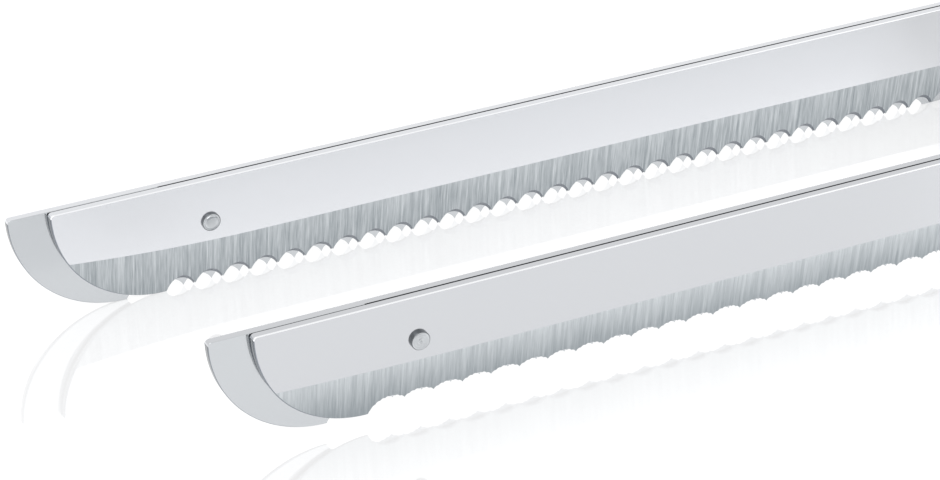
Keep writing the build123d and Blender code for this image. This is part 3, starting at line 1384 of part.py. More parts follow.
def housing(side):
    """One moulded shell with its ribs, bosses and openings."""
    full = (0, side * half_width)
    through = (side * (inner_half_width - overrun), side * (half_width + overrun))
    rib_centres = [guide_x + guide_thickness / 2] + wall_centres
    rib_centres += [motor_front_x + setback for setback in motor_rib_setbacks]
    rib_z = (base_top + wall / 2, gap_floor + wall / 2)
    seat = chassis_groove_depth - static_clearance
    inlet_rib_x = inlet_rear_x - inlet_flange_setback - static_clearance
    plate_low = switch_low - static_clearance
    front_plate = (switch_span[0] - static_clearance - switch_plate_thickness,
                   switch_span[0] - static_clearance)
    rear_plate = (switch_span[1] + static_clearance,
                  switch_span[1] + static_clearance + switch_plate_thickness)
    board_rib_x = (board_span[1] - bridge_size, board_span[1])
    board_low_rib = (board_base_height - board_rib_thickness, board_base_height + board_rib_thickness)
    board_high_rib = (board_top - board_rib_thickness, board_top + board_rib_thickness)
    post_end = near_side * lock_post_end
    with BuildPart() as shell:
        add(outer_forms[side].part)
        add(inner_forms[side].part, mode=Mode.SUBTRACT)
        for rib_x in rib_centres:
            rib_span = (rib_x - rib_thickness / 2, rib_x + rib_thickness / 2)
            add(inside_form(side, rib_span, full, rib_z).part)
        add(inside_form(side, (inlet_rib_x - rib_thickness, inlet_rib_x), full,
                        (base_top + wall / 2, inlet_z + inlet_flange_height / 2)).part)
        for plate in (front_plate, rear_plate):
            add(inside_form(side, plate, (side * static_clearance, side * half_width),
                            (plate_low, handle_height)).part)
        for board_rib in (board_low_rib, board_high_rib):
            add(inside_form(side, board_rib_x, (side * static_clearance, side * half_width),
                            board_rib).part)
        add(screw_bosses(side).part)
        rod_y(trigger_pivot_x, trigger_pivot_z, trigger_boss_radius,
              (side * (trigger_width / 2 + trigger_slot_clearance), side * inner_half_width))
        rod_z(trigger_spring_x, 0, trigger_spring_boss_radius,
              (trigger_top_z + trigger_spring_length, handle_height - grip_pad_thickness))
        split(bisect_by=Plane.XZ, keep=Keep.TOP if side == near_side else Keep.BOTTOM)
        if side == near_side:
            rod_y(lock_x, lock_z, lock_boss_radius,
                  (side * (lock_flange_out + static_clearance), side * inner_half_width))
        if side == far_side:
            rod_y(lock_x, lock_z, lock_post_radius, (post_end, side * inner_half_width))
            bore_end = post_end + lock_post_depth
            rod_y(lock_x, lock_z, lock_stem_radius + button_clearance, (post_end, bore_end),
                  Mode.SUBTRACT)
        for rib_x in wall_centres:
            span_box((rib_x - rib_thickness, rib_x + rib_thickness), (0, side * (plate_outer - seat)),
                     (chassis_base + seat, chassis_top - seat), Mode.SUBTRACT)
        span_box((guide_x, guide_x + guide_thickness), (0, side * (guide_width / 2 - seat)),
                 (guide_low + seat, guide_high - seat), Mode.SUBTRACT)
        for setback in motor_rib_setbacks:
            rib_x = motor_front_x + setback
            rod_x(0, shaft_z, motor_radius + static_clearance,
                  (rib_x - rib_thickness, rib_x + rib_thickness), Mode.SUBTRACT)
        with BuildSketch(at_x(inlet_front_x)):
            with Locations((0, inlet_z)):
                RectangleRounded(inlet_width + 2 * static_clearance,
                                 inlet_height + 2 * static_clearance, inlet_corner_radius)
        extrude(amount=inlet_length + wall, mode=Mode.SUBTRACT)
        with BuildSketch(at_x(collar_front_x)):
            with Locations((0, tang_mid_z)):
                RectangleRounded(2 * (collar_half_width + static_clearance),
                                 2 * (collar_half_height + static_clearance), collar_corner_radius)
        extrude(amount=collar_length, mode=Mode.SUBTRACT)
        span_box((front_plate[0] - overrun, rear_plate[1] + overrun),
                 (0, side * (switch_width / 2 + static_clearance)),
                 (switch_low + switch_tab_rise - static_clearance,
                  switch_low + switch_tab_rise + switch_tab_height + static_clearance), Mode.SUBTRACT)
        span_box((rear_plate[0] - static_clearance, rear_plate[1] + static_clearance),
                 (side * (switch_lead_offset - 2 * lead_radius),
                  side * (switch_lead_offset + 2 * lead_radius)),
                 (terminal_z - switch_notch_height / 2, terminal_z + switch_notch_height / 2),
                 Mode.SUBTRACT)
        span_box((board_span[0] - static_clearance, board_span[1] + static_clearance),
                 (0, side * (board_thickness / 2 + static_clearance)),
                 (board_base_height - static_clearance, board_top + static_clearance), Mode.SUBTRACT)
        rod_y(trigger_pivot_x, trigger_pivot_z, trigger_pin_radius,
              (0, side * (trigger_pin_length / 2 + static_clearance)), Mode.SUBTRACT)
        span_box((trigger_front - trigger_slot_clearance, trigger_rear + trigger_rear_clearance),
                 (0, side * (trigger_width / 2 + trigger_slot_clearance)),
                 (gap_ceiling - overrun, gap_ceiling + wall + slot_overcut), Mode.SUBTRACT)
        rod_y(release_x, tang_mid_z, release_cap_radius + button_clearance, through, Mode.SUBTRACT)
        if side == near_side:
            lock_hole = (side * lock_flange_out, side * (half_width + overrun))
            rod_y(lock_x, lock_z, lock_cap_radius + button_clearance, lock_hole, Mode.SUBTRACT)
        for x, z in screw_places:
            if side == near_side:
                rod_y(x, z, screw_head_radius + 2 * static_clearance,
                      (head_inner, side * (half_width + overrun)), Mode.SUBTRACT)
                rod_y(x, z, screw_radius + static_clearance, (0, head_inner), Mode.SUBTRACT)
            else:
                rod_y(x, z, screw_radius, (0, head_inner + screw_length + static_clearance),
                      Mode.SUBTRACT)
        for i in range(vent_count):
            with BuildSketch(at_y(through[0])):
                with Locations((nose_x + vent_setback + vent_spacing * i, vent_axis_height)):
                    SlotOverall(vent_height, vent_width, rotation=90)
            extrude(amount=wall + 2 * overrun, dir=(0, side, 0), mode=Mode.SUBTRACT)
        add(pad_halves[side].part, mode=Mode.SUBTRACT)
    return shell


housing_near = housing(near_side)
save(housing_near, "housing_near")
housing_far = housing(far_side)
save(housing_far, "housing_far")
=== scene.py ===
import math

import bpy
import numpy as np
from bpy.props import FloatProperty, FloatVectorProperty, IntProperty, PointerProperty
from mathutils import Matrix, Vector


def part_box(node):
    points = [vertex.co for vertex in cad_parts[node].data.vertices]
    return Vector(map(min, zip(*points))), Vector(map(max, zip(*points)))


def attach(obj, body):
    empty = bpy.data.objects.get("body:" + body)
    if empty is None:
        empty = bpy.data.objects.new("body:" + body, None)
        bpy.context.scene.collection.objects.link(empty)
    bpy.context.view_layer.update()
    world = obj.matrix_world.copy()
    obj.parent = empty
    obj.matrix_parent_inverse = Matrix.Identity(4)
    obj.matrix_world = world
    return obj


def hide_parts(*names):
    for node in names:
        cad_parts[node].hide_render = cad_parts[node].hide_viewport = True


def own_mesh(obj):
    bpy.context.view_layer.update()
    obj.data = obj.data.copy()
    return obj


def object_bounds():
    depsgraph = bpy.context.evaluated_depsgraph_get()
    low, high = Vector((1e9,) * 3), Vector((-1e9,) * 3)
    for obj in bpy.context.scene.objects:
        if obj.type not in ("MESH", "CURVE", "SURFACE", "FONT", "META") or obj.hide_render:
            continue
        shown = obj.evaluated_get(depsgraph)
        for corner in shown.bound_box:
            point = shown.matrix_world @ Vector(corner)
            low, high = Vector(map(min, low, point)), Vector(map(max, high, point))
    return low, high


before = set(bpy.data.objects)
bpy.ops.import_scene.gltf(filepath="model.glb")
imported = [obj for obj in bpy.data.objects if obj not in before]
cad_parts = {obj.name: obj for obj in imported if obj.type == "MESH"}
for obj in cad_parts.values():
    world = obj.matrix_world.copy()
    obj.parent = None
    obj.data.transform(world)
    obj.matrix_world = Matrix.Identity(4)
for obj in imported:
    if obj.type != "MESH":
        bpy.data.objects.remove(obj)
cad_low, cad_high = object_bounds()

bl_info = {
    "name": "Carving Knife",
    "version": (1, 0, 0),
    "blender": (4, 5, 0),
    "location": "View3D > Sidebar > Knife",
    "description": "Builds the surfaces, the finishes and the stage of an electric carving knife",
    "category": "Add Mesh",
}

SMALLEST_FACE = 1e-13
SMALLEST_LENGTH = 1e-12
SMALLEST_STEP = 5e-8
TOOTH_STEPS = 36
SMALL_TOOTH_STEPS = 6
RIM_STEPS = 4
RIM_FADE = (0.5, 0.9)
ROUND_STEPS = 72
TURN_STEPS = 48
WIRE_SIDES = 12


# Settings

class KnifeBladeSettings(bpy.types.PropertyGroup):
    """Sizes of the four saw blades."""
    height: FloatProperty(
        name="Height", description="Spine to cutting edge", default=0.020, unit="LENGTH")
    length: FloatProperty(
        name="Length", description="Tip to heel, without the tang", default=0.188, unit="LENGTH")
    tip_reach: FloatProperty(
        name="Tip Reach", description="Length of the quarter-round tip", default=0.0195, unit="LENGTH")
    tip_corner: FloatProperty(
        name="Tip Corner", description="Rounding where tip and spine meet", default=0.0007,
        unit="LENGTH")
    heel_corner: FloatProperty(
        name="Heel Corner", description="Rounding of the heel's corners", default=0.0024, unit="LENGTH")
    bevel_height: FloatProperty(
        name="Bevel Height", description="Height of the ground bevel", default=0.0083, unit="LENGTH")
    lift_reach: FloatProperty(
        name="Lift Reach", description="Tip to where the bevel has its even height", default=0.037,
        unit="LENGTH")
    bread_lift: FloatProperty(
        name="Bread Lift", description="Rise of the bread blades' bevel at the tip", default=0.0021,
        unit="LENGTH")
    carving_lift: FloatProperty(
        name="Carving Lift", description="Rise of the carving blades' bevel at the tip", default=0.0008,
        unit="LENGTH")
    edge_thickness: FloatProperty(
        name="Edge Thickness", description="Thickness left at the cutting edge", default=0.0004,
        unit="LENGTH")
    rim: FloatProperty(
        name="Rim", description="Broken edge round the outer faces", default=0.00017, unit="LENGTH")
    inner_rim: FloatProperty(
        name="Inner Rim", description="Broken edge of the faces that rub", default=0.0001,
        unit="LENGTH")
    lead: FloatProperty(
        name="Lead", description="How far one blade stands ahead of the other", default=0.0069,
        unit="LENGTH")
    tang_rise: FloatProperty(
        name="Tang Rise", description="Height of the tang above the edge", default=0.0062,
        unit="LENGTH")
    tang_height: FloatProperty(
        name="Tang Height", description="Height of the narrow tang", default=0.008, unit="LENGTH")
    tang_corner: FloatProperty(
        name="Tang Corner", description="Rounding at the end of the tang", default=0.0012,
        unit="LENGTH")
    tooth_pitch: FloatProperty(
        name="Tooth Pitch", description="Distance from scallop to scallop", default=0.00515,
        unit="LENGTH")
    plain_heel: FloatProperty(
        name="Plain Heel", description="Length without teeth at the heel", default=0.007, unit="LENGTH")
    bread_first: FloatProperty(
        name="First Bread Tooth", description="Tip to the first scallop of the bread blades",
        default=0.0199, unit="LENGTH")
    bread_depth: FloatProperty(
        name="Bread Scallop Depth", description="Depth of the bread blades' scallops", default=0.00165,
        unit="LENGTH")
    hollow_shift: FloatProperty(
        name="Hollow Shift", description="Sideways lean of a scallop over the blade's thickness",
        default=0.00055, unit="LENGTH")
    hollow_rise: FloatProperty(
        name="Hollow Rise", description="Upward lean of a scallop over the blade's thickness",
        default=0.0005, unit="LENGTH")
    hollow_taper: FloatProperty(
        name="Hollow Taper", description="How much deeper a scallop gets over the blade's thickness",
        default=0.6)
    carving_first: FloatProperty(
        name="First Carving Valley", description="Tip to the first valley of the carving blades",
        default=0.0233, unit="LENGTH")
    carving_radius: FloatProperty(
        name="Carving Scallop Radius", description="Radius of the carving blades' scallops",
        default=0.0042, unit="LENGTH")
    carving_depth: FloatProperty(
        name="Carving Scallop Depth", description="Depth of the carving blades' scallops",
        default=0.0024, unit="LENGTH")
    micro_teeth: IntProperty(
        name="Small Teeth", description="Small teeth in one carving scallop", default=6)
    micro_depth: FloatProperty(
        name="Small Tooth Depth", description="Depth of a small tooth", default=0.0002, unit="LENGTH")
    blade_gap: FloatProperty(
        name="Gap", description="Room between the two blades of a pair", default=0.00015, unit="LENGTH")
    slot_reach: FloatProperty(
        name="Slot Reach", description="Tip to the middle of the rivet slot", default=0.0282,
        unit="LENGTH")
    slot_drop: FloatProperty(
        name="Slot Drop", description="Spine to the middle of the rivet slot", default=0.00795,
        unit="LENGTH")
    slot_half_height: FloatProperty(
        name="Slot Half Height", description="Half the height of the rivet slot", default=0.00135,
        unit="LENGTH")
    slot_half_length: FloatProperty(
        name="Slot Half Length", description="Half the length of the rivet slot", default=0.0084,
        unit="LENGTH")


class KnifeSmallPartSettings(bpy.types.PropertyGroup):
    """Sizes of the rivets and the springs."""
    rivet_radius: FloatProperty(
        name="Rivet Radius", description="Radius of a rivet's shaft", default=0.0012, unit="LENGTH")
    head_radius: FloatProperty(
        name="Head Radius", description="Radius of a rivet's head", default=0.00165, unit="LENGTH")
    head_height: FloatProperty(
        name="Head Height", description="Height of a rivet's head", default=0.00065, unit="LENGTH")
    tail_radius: FloatProperty(
        name="Tail Radius", description="Radius of a rivet's closed end", default=0.0018, unit="LENGTH")
    tail_height: FloatProperty(
        name="Tail Height", description="Height of a rivet's closed end", default=0.0005, unit="LENGTH")
    release_wire: FloatProperty(
        name="Release Spring Wire", description="Wire thickness of a release spring", default=0.00045,
        unit="LENGTH")
    release_turns: FloatProperty(
        name="Release Spring Turns", description="Turns of a release spring", default=2.0)
    release_stroke: FloatProperty(
        name="Release Stroke", description="How far a release button is pressed", default=0.0018,
        unit="LENGTH")
    trigger_wire: FloatProperty(
        name="Trigger Spring Wire", description="Wire thickness of the trigger's spring",
        default=0.0006, unit="LENGTH")
    trigger_turns: FloatProperty(
        name="Trigger Spring Turns", description="Turns of the trigger's spring", default=6.0)
    trigger_swing: FloatProperty(
        name="Trigger Swing", description="How far the trigger turns", default=math.radians(8),
        unit="ROTATION")
    lock_wire: FloatProperty(
        name="Lock Spring Wire", description="Wire thickness of the lock's spring", default=0.0005,
        unit="LENGTH")
    lock_turns: FloatProperty(
        name="Lock Spring Turns", description="Turns of the lock's spring", default=4.0)
    lock_stroke: FloatProperty(
        name="Lock Stroke", description="How far the lock button is pressed", default=0.0025,
        unit="LENGTH")


class KnifeColourSettings(bpy.types.PropertyGroup):
    """Colours of the steel, the mouldings and the inner parts."""
    bread_steel: FloatVectorProperty(
        name="Bread Steel", description="Flat faces of the bread blades", default=(0.770, 0.783, 0.810),
        subtype="COLOR")
    carving_steel: FloatVectorProperty(
        name="Carving Steel", description="Flat faces of the carving blades",
        default=(0.620, 0.632, 0.655), subtype="COLOR")
    inner_steel: FloatVectorProperty(
        name="Inner Steel", description="Faces on which the two blades of a pair slide",
        default=(0.585, 0.605, 0.625), subtype="COLOR")
    ground_light: FloatVectorProperty(
        name="Ground Steel Light", description="Light streaks of the bevels",
        default=(0.62, 0.65, 0.67), subtype="COLOR")
    ground_dark: FloatVectorProperty(
        name="Ground Steel Dark", description="Dark streaks of the bevels", default=(0.30, 0.33, 0.35),
        subtype="COLOR")
    # Painted highlight: the rounded edges are real, and their near-white steel colour paints the bright
    # line they show.
    rim: FloatVectorProperty(
        name="Rim Highlight Steel", description="Broken edges of the blades, with a painted highlight", default=(0.93, 0.94, 0.96),
        subtype="COLOR")
    # Painted shade: this near-black steel colour stands in for the shade in the gap between the two blades
    # of a pair.
    gap_shade: FloatVectorProperty(
        name="Painted Gap Shade", description="Painted shade in the gap between the two blades",
        default=(0.03, 0.033, 0.04), subtype="COLOR")
    # Partly painted shade: the hollow-ground facets are real, and their dark steel colour stands in for
    # the shade round each scallop.
    edge: FloatVectorProperty(
        name="Scallop Steel With Painted Shade", description="Hollow ground faces of the teeth",
        default=(0.24, 0.26, 0.29), subtype="COLOR")
    rivet: FloatVectorProperty(
        name="Rivet Steel", description="Turned rivet heads", default=(0.56, 0.58, 0.60),
        subtype="COLOR")
    # Painted shade: the dark side wall of a rivet head stands in for the shade beside the head.
    rivet_wall_shade: FloatVectorProperty(
        name="Rivet Wall Shade", description="Side wall of the rivet heads, darkened as painted shade", default=(0.17, 0.18, 0.19),
        subtype="COLOR")
    shell: FloatVectorProperty(
        name="Shell", description="Light moulded shells", default=(0.60, 0.60, 0.585), subtype="COLOR")
    dark: FloatVectorProperty(
        name="Dark Mouldings", description="Trigger, buttons, collar and inlet",
        default=(0.035, 0.037, 0.04), subtype="COLOR")
    grip: FloatVectorProperty(
        name="Soft Grip", description="Soft pad over the grip", default=(0.045, 0.048, 0.052),
        subtype="COLOR")
    floor: FloatVectorProperty(
        name="Floor", description="Colour of the floor", default=(0.40, 0.40, 0.403), subtype="COLOR")


class KnifeStageSettings(bpy.types.PropertyGroup):
    """Camera, lamps and floor."""
    camera_place: FloatVectorProperty(
        name="Camera Place", description="Where the camera stands",
        default=(-0.46451, -0.40431, 0.28706), subtype="TRANSLATION", unit="LENGTH")
    camera_heading: FloatProperty(
        name="Camera Heading", description="Turn of the view from straight along the depth axis",
        default=math.radians(26.59), unit="ROTATION")
    camera_fall: FloatProperty(
        name="Camera Fall", description="Angle of the view below the horizon",
        default=math.radians(29.73), unit="ROTATION")
    lens: FloatProperty(
        name="Lens", description="Focal length in millimetres on a 36 mm sensor", default=127.16)
    floor_half_size: FloatProperty(
        name="Floor Half Size", description="Half the width of the floor", default=6.0, unit="LENGTH")
    floor_drop: FloatProperty(
        name="Floor Drop", description="Gap between the floor and the lowest point", default=0.00005,
        unit="LENGTH")
    lamp_power: FloatProperty(
        name="Lamp Power", description="Power of the main soft lamp in watts", default=9.0)
    fill_power: FloatProperty(
        name="Fill Power", description="Power of the fill lamp in watts", default=3.0)
    sky_strength: FloatProperty(
        name="Sky Strength", description="Brightness of the surrounding light", default=0.80)
    floor_index: FloatProperty(
        name="Floor Index", description="Index of the floor, which sets its reflections", default=3.0)
    floor_glow: FloatProperty(
        name="Floor Glow", description="Light the floor gives off by itself", default=0.56)


# Meshes

def grid_quads(rows, columns):
    """Corner numbers of the quads between the points of a grid, counted row by row."""
    row, column = np.meshgrid(np.arange(rows - 1), np.arange(columns - 1), indexing="ij")
    first = (row * columns + column).ravel()
    return np.stack([first, first + 1, first + columns + 1, first + columns], axis=1)


def make_piece(name, patches, finishes, body, node):
    """One mesh from point grids.

    Each patch is a grid, its rough outward direction and a finish number. A function in place of
    the direction gives it at the faces' centres, and None leaves the faces as they are.
    """
    points, quads, marks, start = [], [], [], 0
    for grid, outward, mark in patches:
        flat = grid.reshape(-1, 3)
        corners = grid_quads(*grid.shape[:2])
        normals = np.cross(flat[corners[:, 2]] - flat[corners[:, 0]],
                           flat[corners[:, 3]] - flat[corners[:, 1]])
        wide = np.linalg.norm(normals, axis=1) > SMALLEST_FACE
        corners, normals = corners[wide], normals[wide]
        if outward is not None:
            wanted = outward(flat[corners].mean(axis=1)) if callable(outward) else np.array(outward)
            if (normals * wanted).sum() < 0:
                corners = corners[:, ::-1]
        points.append(flat)
        quads.append(corners + start)
        marks.append(np.full(len(corners), mark))
        start += len(flat)
    quads = np.concatenate(quads)
    mesh = bpy.data.meshes.new(name)
    mesh.from_pydata(np.concatenate(points).tolist(), [], quads.tolist())
    mesh.polygons.foreach_set("material_index", np.concatenate(marks).astype(np.int32))
    mesh.polygons.foreach_set("use_smooth", np.ones(len(quads), bool))
    mesh.update()
    for finish in finishes:
        mesh.materials.append(finish)
    obj = bpy.data.objects.new(name, mesh)
    bpy.context.scene.collection.objects.link(obj)
    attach(obj, body)
    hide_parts(node)
    return obj


def corner_drop(distance, radius):
    """How far a rounded corner lies inside the square one, at a distance from the corner's end."""
    inside = np.clip(distance, 0, radius)
    return radius - np.sqrt(np.maximum(radius**2 - (radius - inside) ** 2, 0))


def bread_teeth(settings, x, depth):
    """Edge height of the wide scallops: a row of circles that lean and deepen with the depth's share."""
    half = settings.tooth_pitch / 2
    radius = (half**2 + settings.bread_depth**2) / (2 * settings.bread_depth)
    count = int((settings.length - settings.plain_heel - settings.bread_first) / settings.tooth_pitch)
    along = x - settings.hollow_shift * depth - settings.bread_first
    number = np.clip(np.floor(along / settings.tooth_pitch), 0, count - 1)
    offset = along - (number + 0.5) * settings.tooth_pitch
    circle = settings.bread_depth - radius + np.sqrt(np.maximum(radius**2 - offset**2, 0))
    return np.maximum(0, circle * (1 + settings.hollow_taper * depth) + settings.hollow_rise * depth)


def carving_corners(settings):
    """Corner points of the small teeth: even steps along a row of shallow circles."""
    step = settings.tooth_pitch / settings.micro_teeth
    radius = settings.carving_radius
    centre = settings.carving_depth - radius
    last = settings.length - settings.plain_heel
    count = int((last - settings.carving_first) / step + 1e-9)
    lead_in = math.sqrt(radius**2 - centre**2)
    reach = np.concatenate([[-lead_in], step * (np.arange(count) - settings.micro_teeth // 2 - 1)])
    valley = np.maximum(0, np.round(reach / settings.tooth_pitch)) * settings.tooth_pitch
    return settings.carving_first + reach, centre + np.sqrt(radius**2 - (reach - valley) ** 2)


def carving_teeth(settings, x):
    """Edge height of the small teeth: between two corners a low arch stands on the straight line."""
    corner_x, corner_z = carving_corners(settings)
    number = np.clip(np.searchsorted(corner_x, x, side="right") - 1, 0, len(corner_x) - 2)
    width = corner_x[number + 1] - corner_x[number]
    share = np.clip((x - corner_x[number]) / width, 0, 1)
    line = corner_z[number] * (1 - share) + corner_z[number + 1] * share
    step = settings.tooth_pitch / settings.micro_teeth
    arch = 4 * settings.micro_depth * np.minimum(1, width / step) * share * (1 - share)
    inside = (x >= corner_x[0]) & (x <= corner_x[-1])
    return np.where(inside, line + arch, 0)


def inset(x, z, distance, turn):
    """Points moved square to their own line by a distance; turn 1 moves to the left of the line."""
    step_x, step_z = np.gradient(x), np.gradient(z)
    length = np.maximum(np.hypot(step_x, step_z), SMALLEST_LENGTH)
    return x - turn * distance * step_z / length, z + turn * distance * step_x / length


def plate_patches(x, upper, lower_out, lower_in, width, rims, slot, shaded_stretch, tip, marks):
    """Closed skin of a flat plate in its own frame, where depth 0 is the inner face.

    x, upper, lower_out and lower_in are the outline in stations; width gives the thickness at a height.
    rims holds the rounding radii: upper outer, lower outer, and inner. slot holds a centre height, the
    half heights and the top of the bevel. After slot comes the stretch of the inner face's upper part
    that gets painted shade, a near-black colour for the shade in the gap between the blades, and tip
    is where the end face goes over into the edge. An end that doesn't run out to nothing gets a flat face.
    """
    upper_rim, lower_rim, inner_rim = rims
    face_mark, bevel_mark, edge_mark, rim_highlight_mark, gap_shade_mark, inner_mark, end_mark = marks
    thickness = width(upper)
    up_x, up_z = inset(x, upper, upper_rim, -1)
    top_x, top_z = inset(x, upper, inner_rim, -1)
    out_x, out_z = inset(x, lower_out, lower_rim, 1)
    in_x, in_z = inset(x, lower_in, np.minimum(inner_rim, lower_rim), 1)
    out_z, in_z = np.minimum(out_z, up_z), np.minimum(in_z, top_z)
    out_x, in_x = np.maximum(out_x, x[0]), np.maximum(in_x, x[0])
    low_width = width(out_z)
    bevel_top = np.clip(slot["bevel"], out_z, up_z)

    def between(height, head, foot, depth):
        span = np.maximum(head[1] - foot[1], 1e-9)
        along = head[0] + (foot[0] - head[0]) * (head[1] - height) / span
        return np.stack([along, depth + 0 * along, height], axis=1)

    def rounded(line_x, line_z, inner_x, inner_z, face, turn, radius):
        rows = []
        for angle in np.linspace(0, math.pi / 2, RIM_STEPS):
            out = math.sin(angle)
            depth = face + turn * radius * (1 - math.cos(angle))
            rows.append(np.stack([inner_x + (line_x - inner_x) * out, depth + 0 * line_x,
                                  inner_z + (line_z - inner_z) * out], axis=1))
        return np.stack(rows)

    slot_top = np.clip(slot["height"] + slot["half"], bevel_top, up_z)
    slot_foot = np.clip(slot["height"] - slot["half"], bevel_top, up_z)
    in_top = np.clip(slot["height"] + slot["half"], in_z, top_z)
    in_foot = np.clip(slot["height"] - slot["half"], in_z, top_z)
    outer_rows = [between(h, (up_x, up_z), (out_x, out_z), thickness)
                  for h in (up_z, slot_top, slot_foot, bevel_top)]
    inner_rows = [between(h, (top_x, top_z), (in_x, in_z), 0) for h in (top_z, in_top, in_foot, in_z)]
    foot_row = between(out_z, (up_x, up_z), (out_x, out_z), low_width)
    outer_low = rounded(x, lower_out, out_x, out_z, low_width, -1, lower_rim)
    inner_low = rounded(x, lower_in, in_x, in_z, 0, 1, np.minimum(inner_rim, lower_rim))
    outer_up = rounded(x, upper, up_x, up_z, thickness, -1, upper_rim)
    inner_up = rounded(x, upper, top_x, top_z, 0, 1, inner_rim)
    patches = [
        (np.stack(outer_rows[:2]), (0, 1, 0), face_mark),
        (np.stack(outer_rows[2:]), (0, 1, 0), face_mark),
        (np.stack([outer_rows[3], foot_row]), (0, 1, 0), bevel_mark),
        (outer_low, (0, 1, -1), edge_mark),
        (inner_low, (0, -1, -1), edge_mark),
        # The outer upper rounding along the spine gets the painted highlight colour.
        (outer_up, (0, 1, 1), rim_highlight_mark),
        (np.stack([outer_up[-1], inner_up[-1]]), (0, 0, 1), face_mark),
    ]
    foot = np.stack([outer_low[-1], inner_low[-1]])
    end = np.searchsorted(x, tip)
    patches.append((foot[:, :end + 1], (-1, 0, -1), end_mark))
    patches.append((foot[:, end:], (0, 0, -1), edge_mark))
    # The middle stretch of the inner face's upper part gets the painted gap shade, the rest keeps the
    # inner steel.
    first, last = np.searchsorted(x, shaded_stretch)
    for stretch, mark in ((slice(0, first + 1), inner_mark), (slice(first, last + 1), gap_shade_mark),
                          (slice(last, len(x)), inner_mark)):
        patches.append((np.stack(inner_rows[:2])[:, stretch], (0, -1, 0), mark))
        patches.append((inner_up[:, stretch], (0, -1, 1), mark))
    patches.append((np.stack(inner_rows[2:]), (0, -1, 0), inner_mark))
    for station, way in ((0, -1), (-1, 1)):
        if upper[station] > lower_out[station]:
            head = np.concatenate([outer_up[:, station], inner_up[::-1, station]])
            sole = np.concatenate([outer_low[:, station], inner_low[::-1, station]])
            patches.append((np.stack([head, sole]), (way, 0, 0), end_mark))
    cut = np.flatnonzero(slot["half"] > 0)
    if len(cut):
        run = slice(cut[0] - 1, cut[-1] + 2)
        patches.append((np.stack([outer_rows[1][run], inner_rows[1][run]]), (0, 0, -1), face_mark))
        patches.append((np.stack([outer_rows[2][run], inner_rows[2][run]]), (0, 0, 1), face_mark))
    return patches


